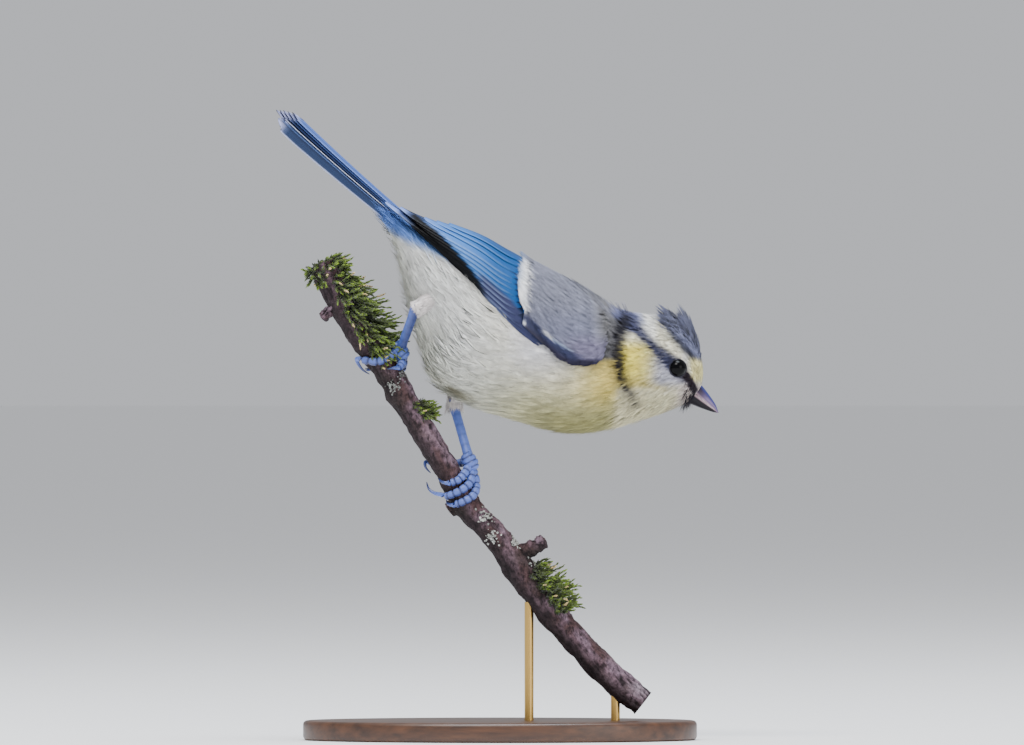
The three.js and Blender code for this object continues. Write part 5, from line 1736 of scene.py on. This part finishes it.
def make_thigh(name, leg):
    """The short feathered thigh: a pale core under soft feathers that lie towards the heel."""
    line, radii = np.array(leg["thigh"]), leg["thigh_radius"]
    short, long, trim = leg["tuft"]

    def place(t, a, out=0.0):
        t = np.asarray(t, float)
        inside = np.clip(t, 0.02, 0.98)
        ahead = (spline(line, inside + 0.02) - spline(line, inside - 0.02)) / 0.04
        middle = spline(line, inside) + ahead * (t - inside)[..., None]
        ahead = unit(ahead)
        first = unit(np.cross(ahead, [0.0, 1.0, 0.0]))
        second = np.cross(ahead, first)
        reach = spline(radii, inside)[..., 0] + out
        return middle + reach[..., None] * (first * np.cos(a)[..., None] + second * np.sin(a)[..., None])

    t = np.linspace(0, 1, 24)[:, None] + np.zeros((1, 24))
    a = np.linspace(0, 2 * HALF_TURN, 24, endpoint=False)[None] + np.zeros((24, 1))
    points = place(t, a, np.full(t.shape, -0.8))
    # The core carries the thigh's pale colour, a little darker as painted shade under its feathers.
    core = joined(f"thigh_core_{name}", [sleeve(points, plain(points, THIGH_PALE) * 0.93)])
    finish_piece(core, SKIN, "plumage", f"thigh_{name}")
    loose = [feather_shape(7, 0.8, 0.2, 0.9) for _ in range(TEMPLATES)]
    t = rng.uniform(0.0, 0.95, THIGH_FEATHERS)
    a = rng.uniform(0, 2 * HALF_TURN, THIGH_FEATHERS)
    length = rng.uniform(short, long, THIGH_FEATHERS) * (1 - trim * ramp(0.55, 0.95, t))
    width = rng.uniform(0.7, 1.0, THIGH_FEATHERS)
    heading = rng.normal(0, 0.12, THIGH_FEATHERS)
    sunk = 0.8 - 0.75 * ramp(0.5, 0.9, t)
    piece = coat(f"thigh_feathers_{name}", place, t, a, 1, length, width, heading, sunk,
                 rng.uniform(0.4, 0.7, THIGH_FEATHERS), loose,
                 lambda roots, points, x, out: plain(points, THIGH_PALE),
                 lambda p, q: np.stack([inset(q / (2 * HALF_TURN)), inset(p)], -1))
    finish_piece(piece, FEATHER, "plumage")


# Stand

BASE_EDGE = 0.9
ROD_IN_TWIG = 0.05
ROD_IN_BASE = 0.45
SMOOTH_ANGLE = math.radians(35)


def make_stand():
    """The oval base with a rounded edge, and the two rods that hold the twig."""
    low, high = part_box("stand_base")
    size = high - low
    bpy.ops.object.select_all(action="DESELECT")
    bpy.ops.mesh.primitive_cylinder_add(vertices=128, radius=0.5, depth=1.0, location=(low + high) / 2)
    bpy.context.object.scale = size
    base = settled("base")
    bevel = base.modifiers.new("rounded edge", "BEVEL")
    bevel.width, bevel.segments, bevel.limit_method = BASE_EDGE * MM, 4, "ANGLE"
    bpy.ops.object.modifier_apply(modifier=bevel.name)
    bpy.ops.object.shade_smooth_by_angle(angle=SMOOTH_ANGLE)
    finish_piece(base, WOOD, "wood", "stand_base")
    for name in ("front", "rear"):
        low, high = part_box(f"stand_rod_{name}")
        centre, size = (low + high) / 2, high - low
        lift = (ROD_IN_TWIG - ROD_IN_BASE) / 2 * MM
        bpy.ops.mesh.primitive_cylinder_add(vertices=40, radius=size.x / 2,
                                            depth=size.z + (ROD_IN_TWIG + ROD_IN_BASE) * MM,
                                            location=(centre.x, centre.y, centre.z + lift))
        rod = settled(f"rod_{name}")
        bpy.ops.object.shade_smooth_by_angle(angle=SMOOTH_ANGLE)
        finish_piece(rod, BRASS, "brass", f"stand_rod_{name}")


# Floor, lights and camera


def make_stage():
    """A pale floor, a pale sky and three soft lamps."""
    bpy.ops.object.select_all(action="DESELECT")
    bpy.ops.mesh.primitive_plane_add(size=60.0, location=(0, 0, 0))
    floor = bpy.context.object
    floor.name = "floor"
    pale = Finish("pale floor", Roughness=0.95)
    floor.data.materials.append(pale.give(Base_Color=(0.93, 0.93, 0.93, 1.0)))
    world = bpy.data.worlds.new("studio")
    bpy.context.scene.world = world
    world.use_nodes = True
    background = world.node_tree.nodes["Background"]
    background.inputs["Color"].default_value = (0.93, 0.95, 1.0, 1.0)
    background.inputs["Strength"].default_value = 0.62
    for name, place, aim, size, power, tint in (
        ("key", (-0.35, -1.0, 1.6), (0, 0, 0.08), 0.8, 30.0, (1.0, 0.98, 0.95)),
        ("sky", (0.12, -0.1, 1.3), (0, 0, 0.08), 0.6, 18.0, (0.84, 0.91, 1.0)),
        ("fill", (1.3, -1.3, 0.5), (0, 0, 0.08), 1.0, 9.0, (1.0, 0.97, 0.92)),
    ):
        data = bpy.data.lights.new(name, "AREA")
        data.size, data.energy, data.color = size, power, tint
        lamp = bpy.data.objects.new(name, data)
        lamp.location = place
        lamp.rotation_euler = (Vector(aim) - Vector(place)).to_track_quat("-Z", "Y").to_euler()
        bpy.context.scene.collection.objects.link(lamp)


PHOTO_WIDE = 1024
PHOTO_HIGH = 745
PIXEL = 0.2132
ORIGIN_ACROSS = 500
ORIGIN_DOWN = 740
CAMERA_AWAY = 3000.0


def make_camera():
    """A level camera that frames the bird at its photographed scale."""
    data = bpy.data.cameras.new("camera")
    data.sensor_width = 36.0
    data.lens = 36.0 * CAMERA_AWAY / (PHOTO_WIDE * PIXEL)
    data.clip_end = 60.0
    camera = bpy.data.objects.new("camera", data)
    x = (PHOTO_WIDE / 2 - ORIGIN_ACROSS) * PIXEL
    z = (ORIGIN_DOWN - PHOTO_HIGH / 2) * PIXEL
    camera.location = Vector((x, -CAMERA_AWAY, z)) * MM
    camera.rotation_euler = (HALF_TURN / 2, 0, 0)
    bpy.context.scene.collection.objects.link(camera)
    bpy.context.scene.camera = camera


make_skin()
make_body_coat()
make_crest()
make_wing(-1, "right")
make_wing(1, "left")
make_tail()
make_eye("right", -1)
make_eye("left", 1)
make_bill()
make_bristles()
make_twig()
make_moss()
make_lichen()
make_legs()
make_stand()
make_stage()
make_camera()
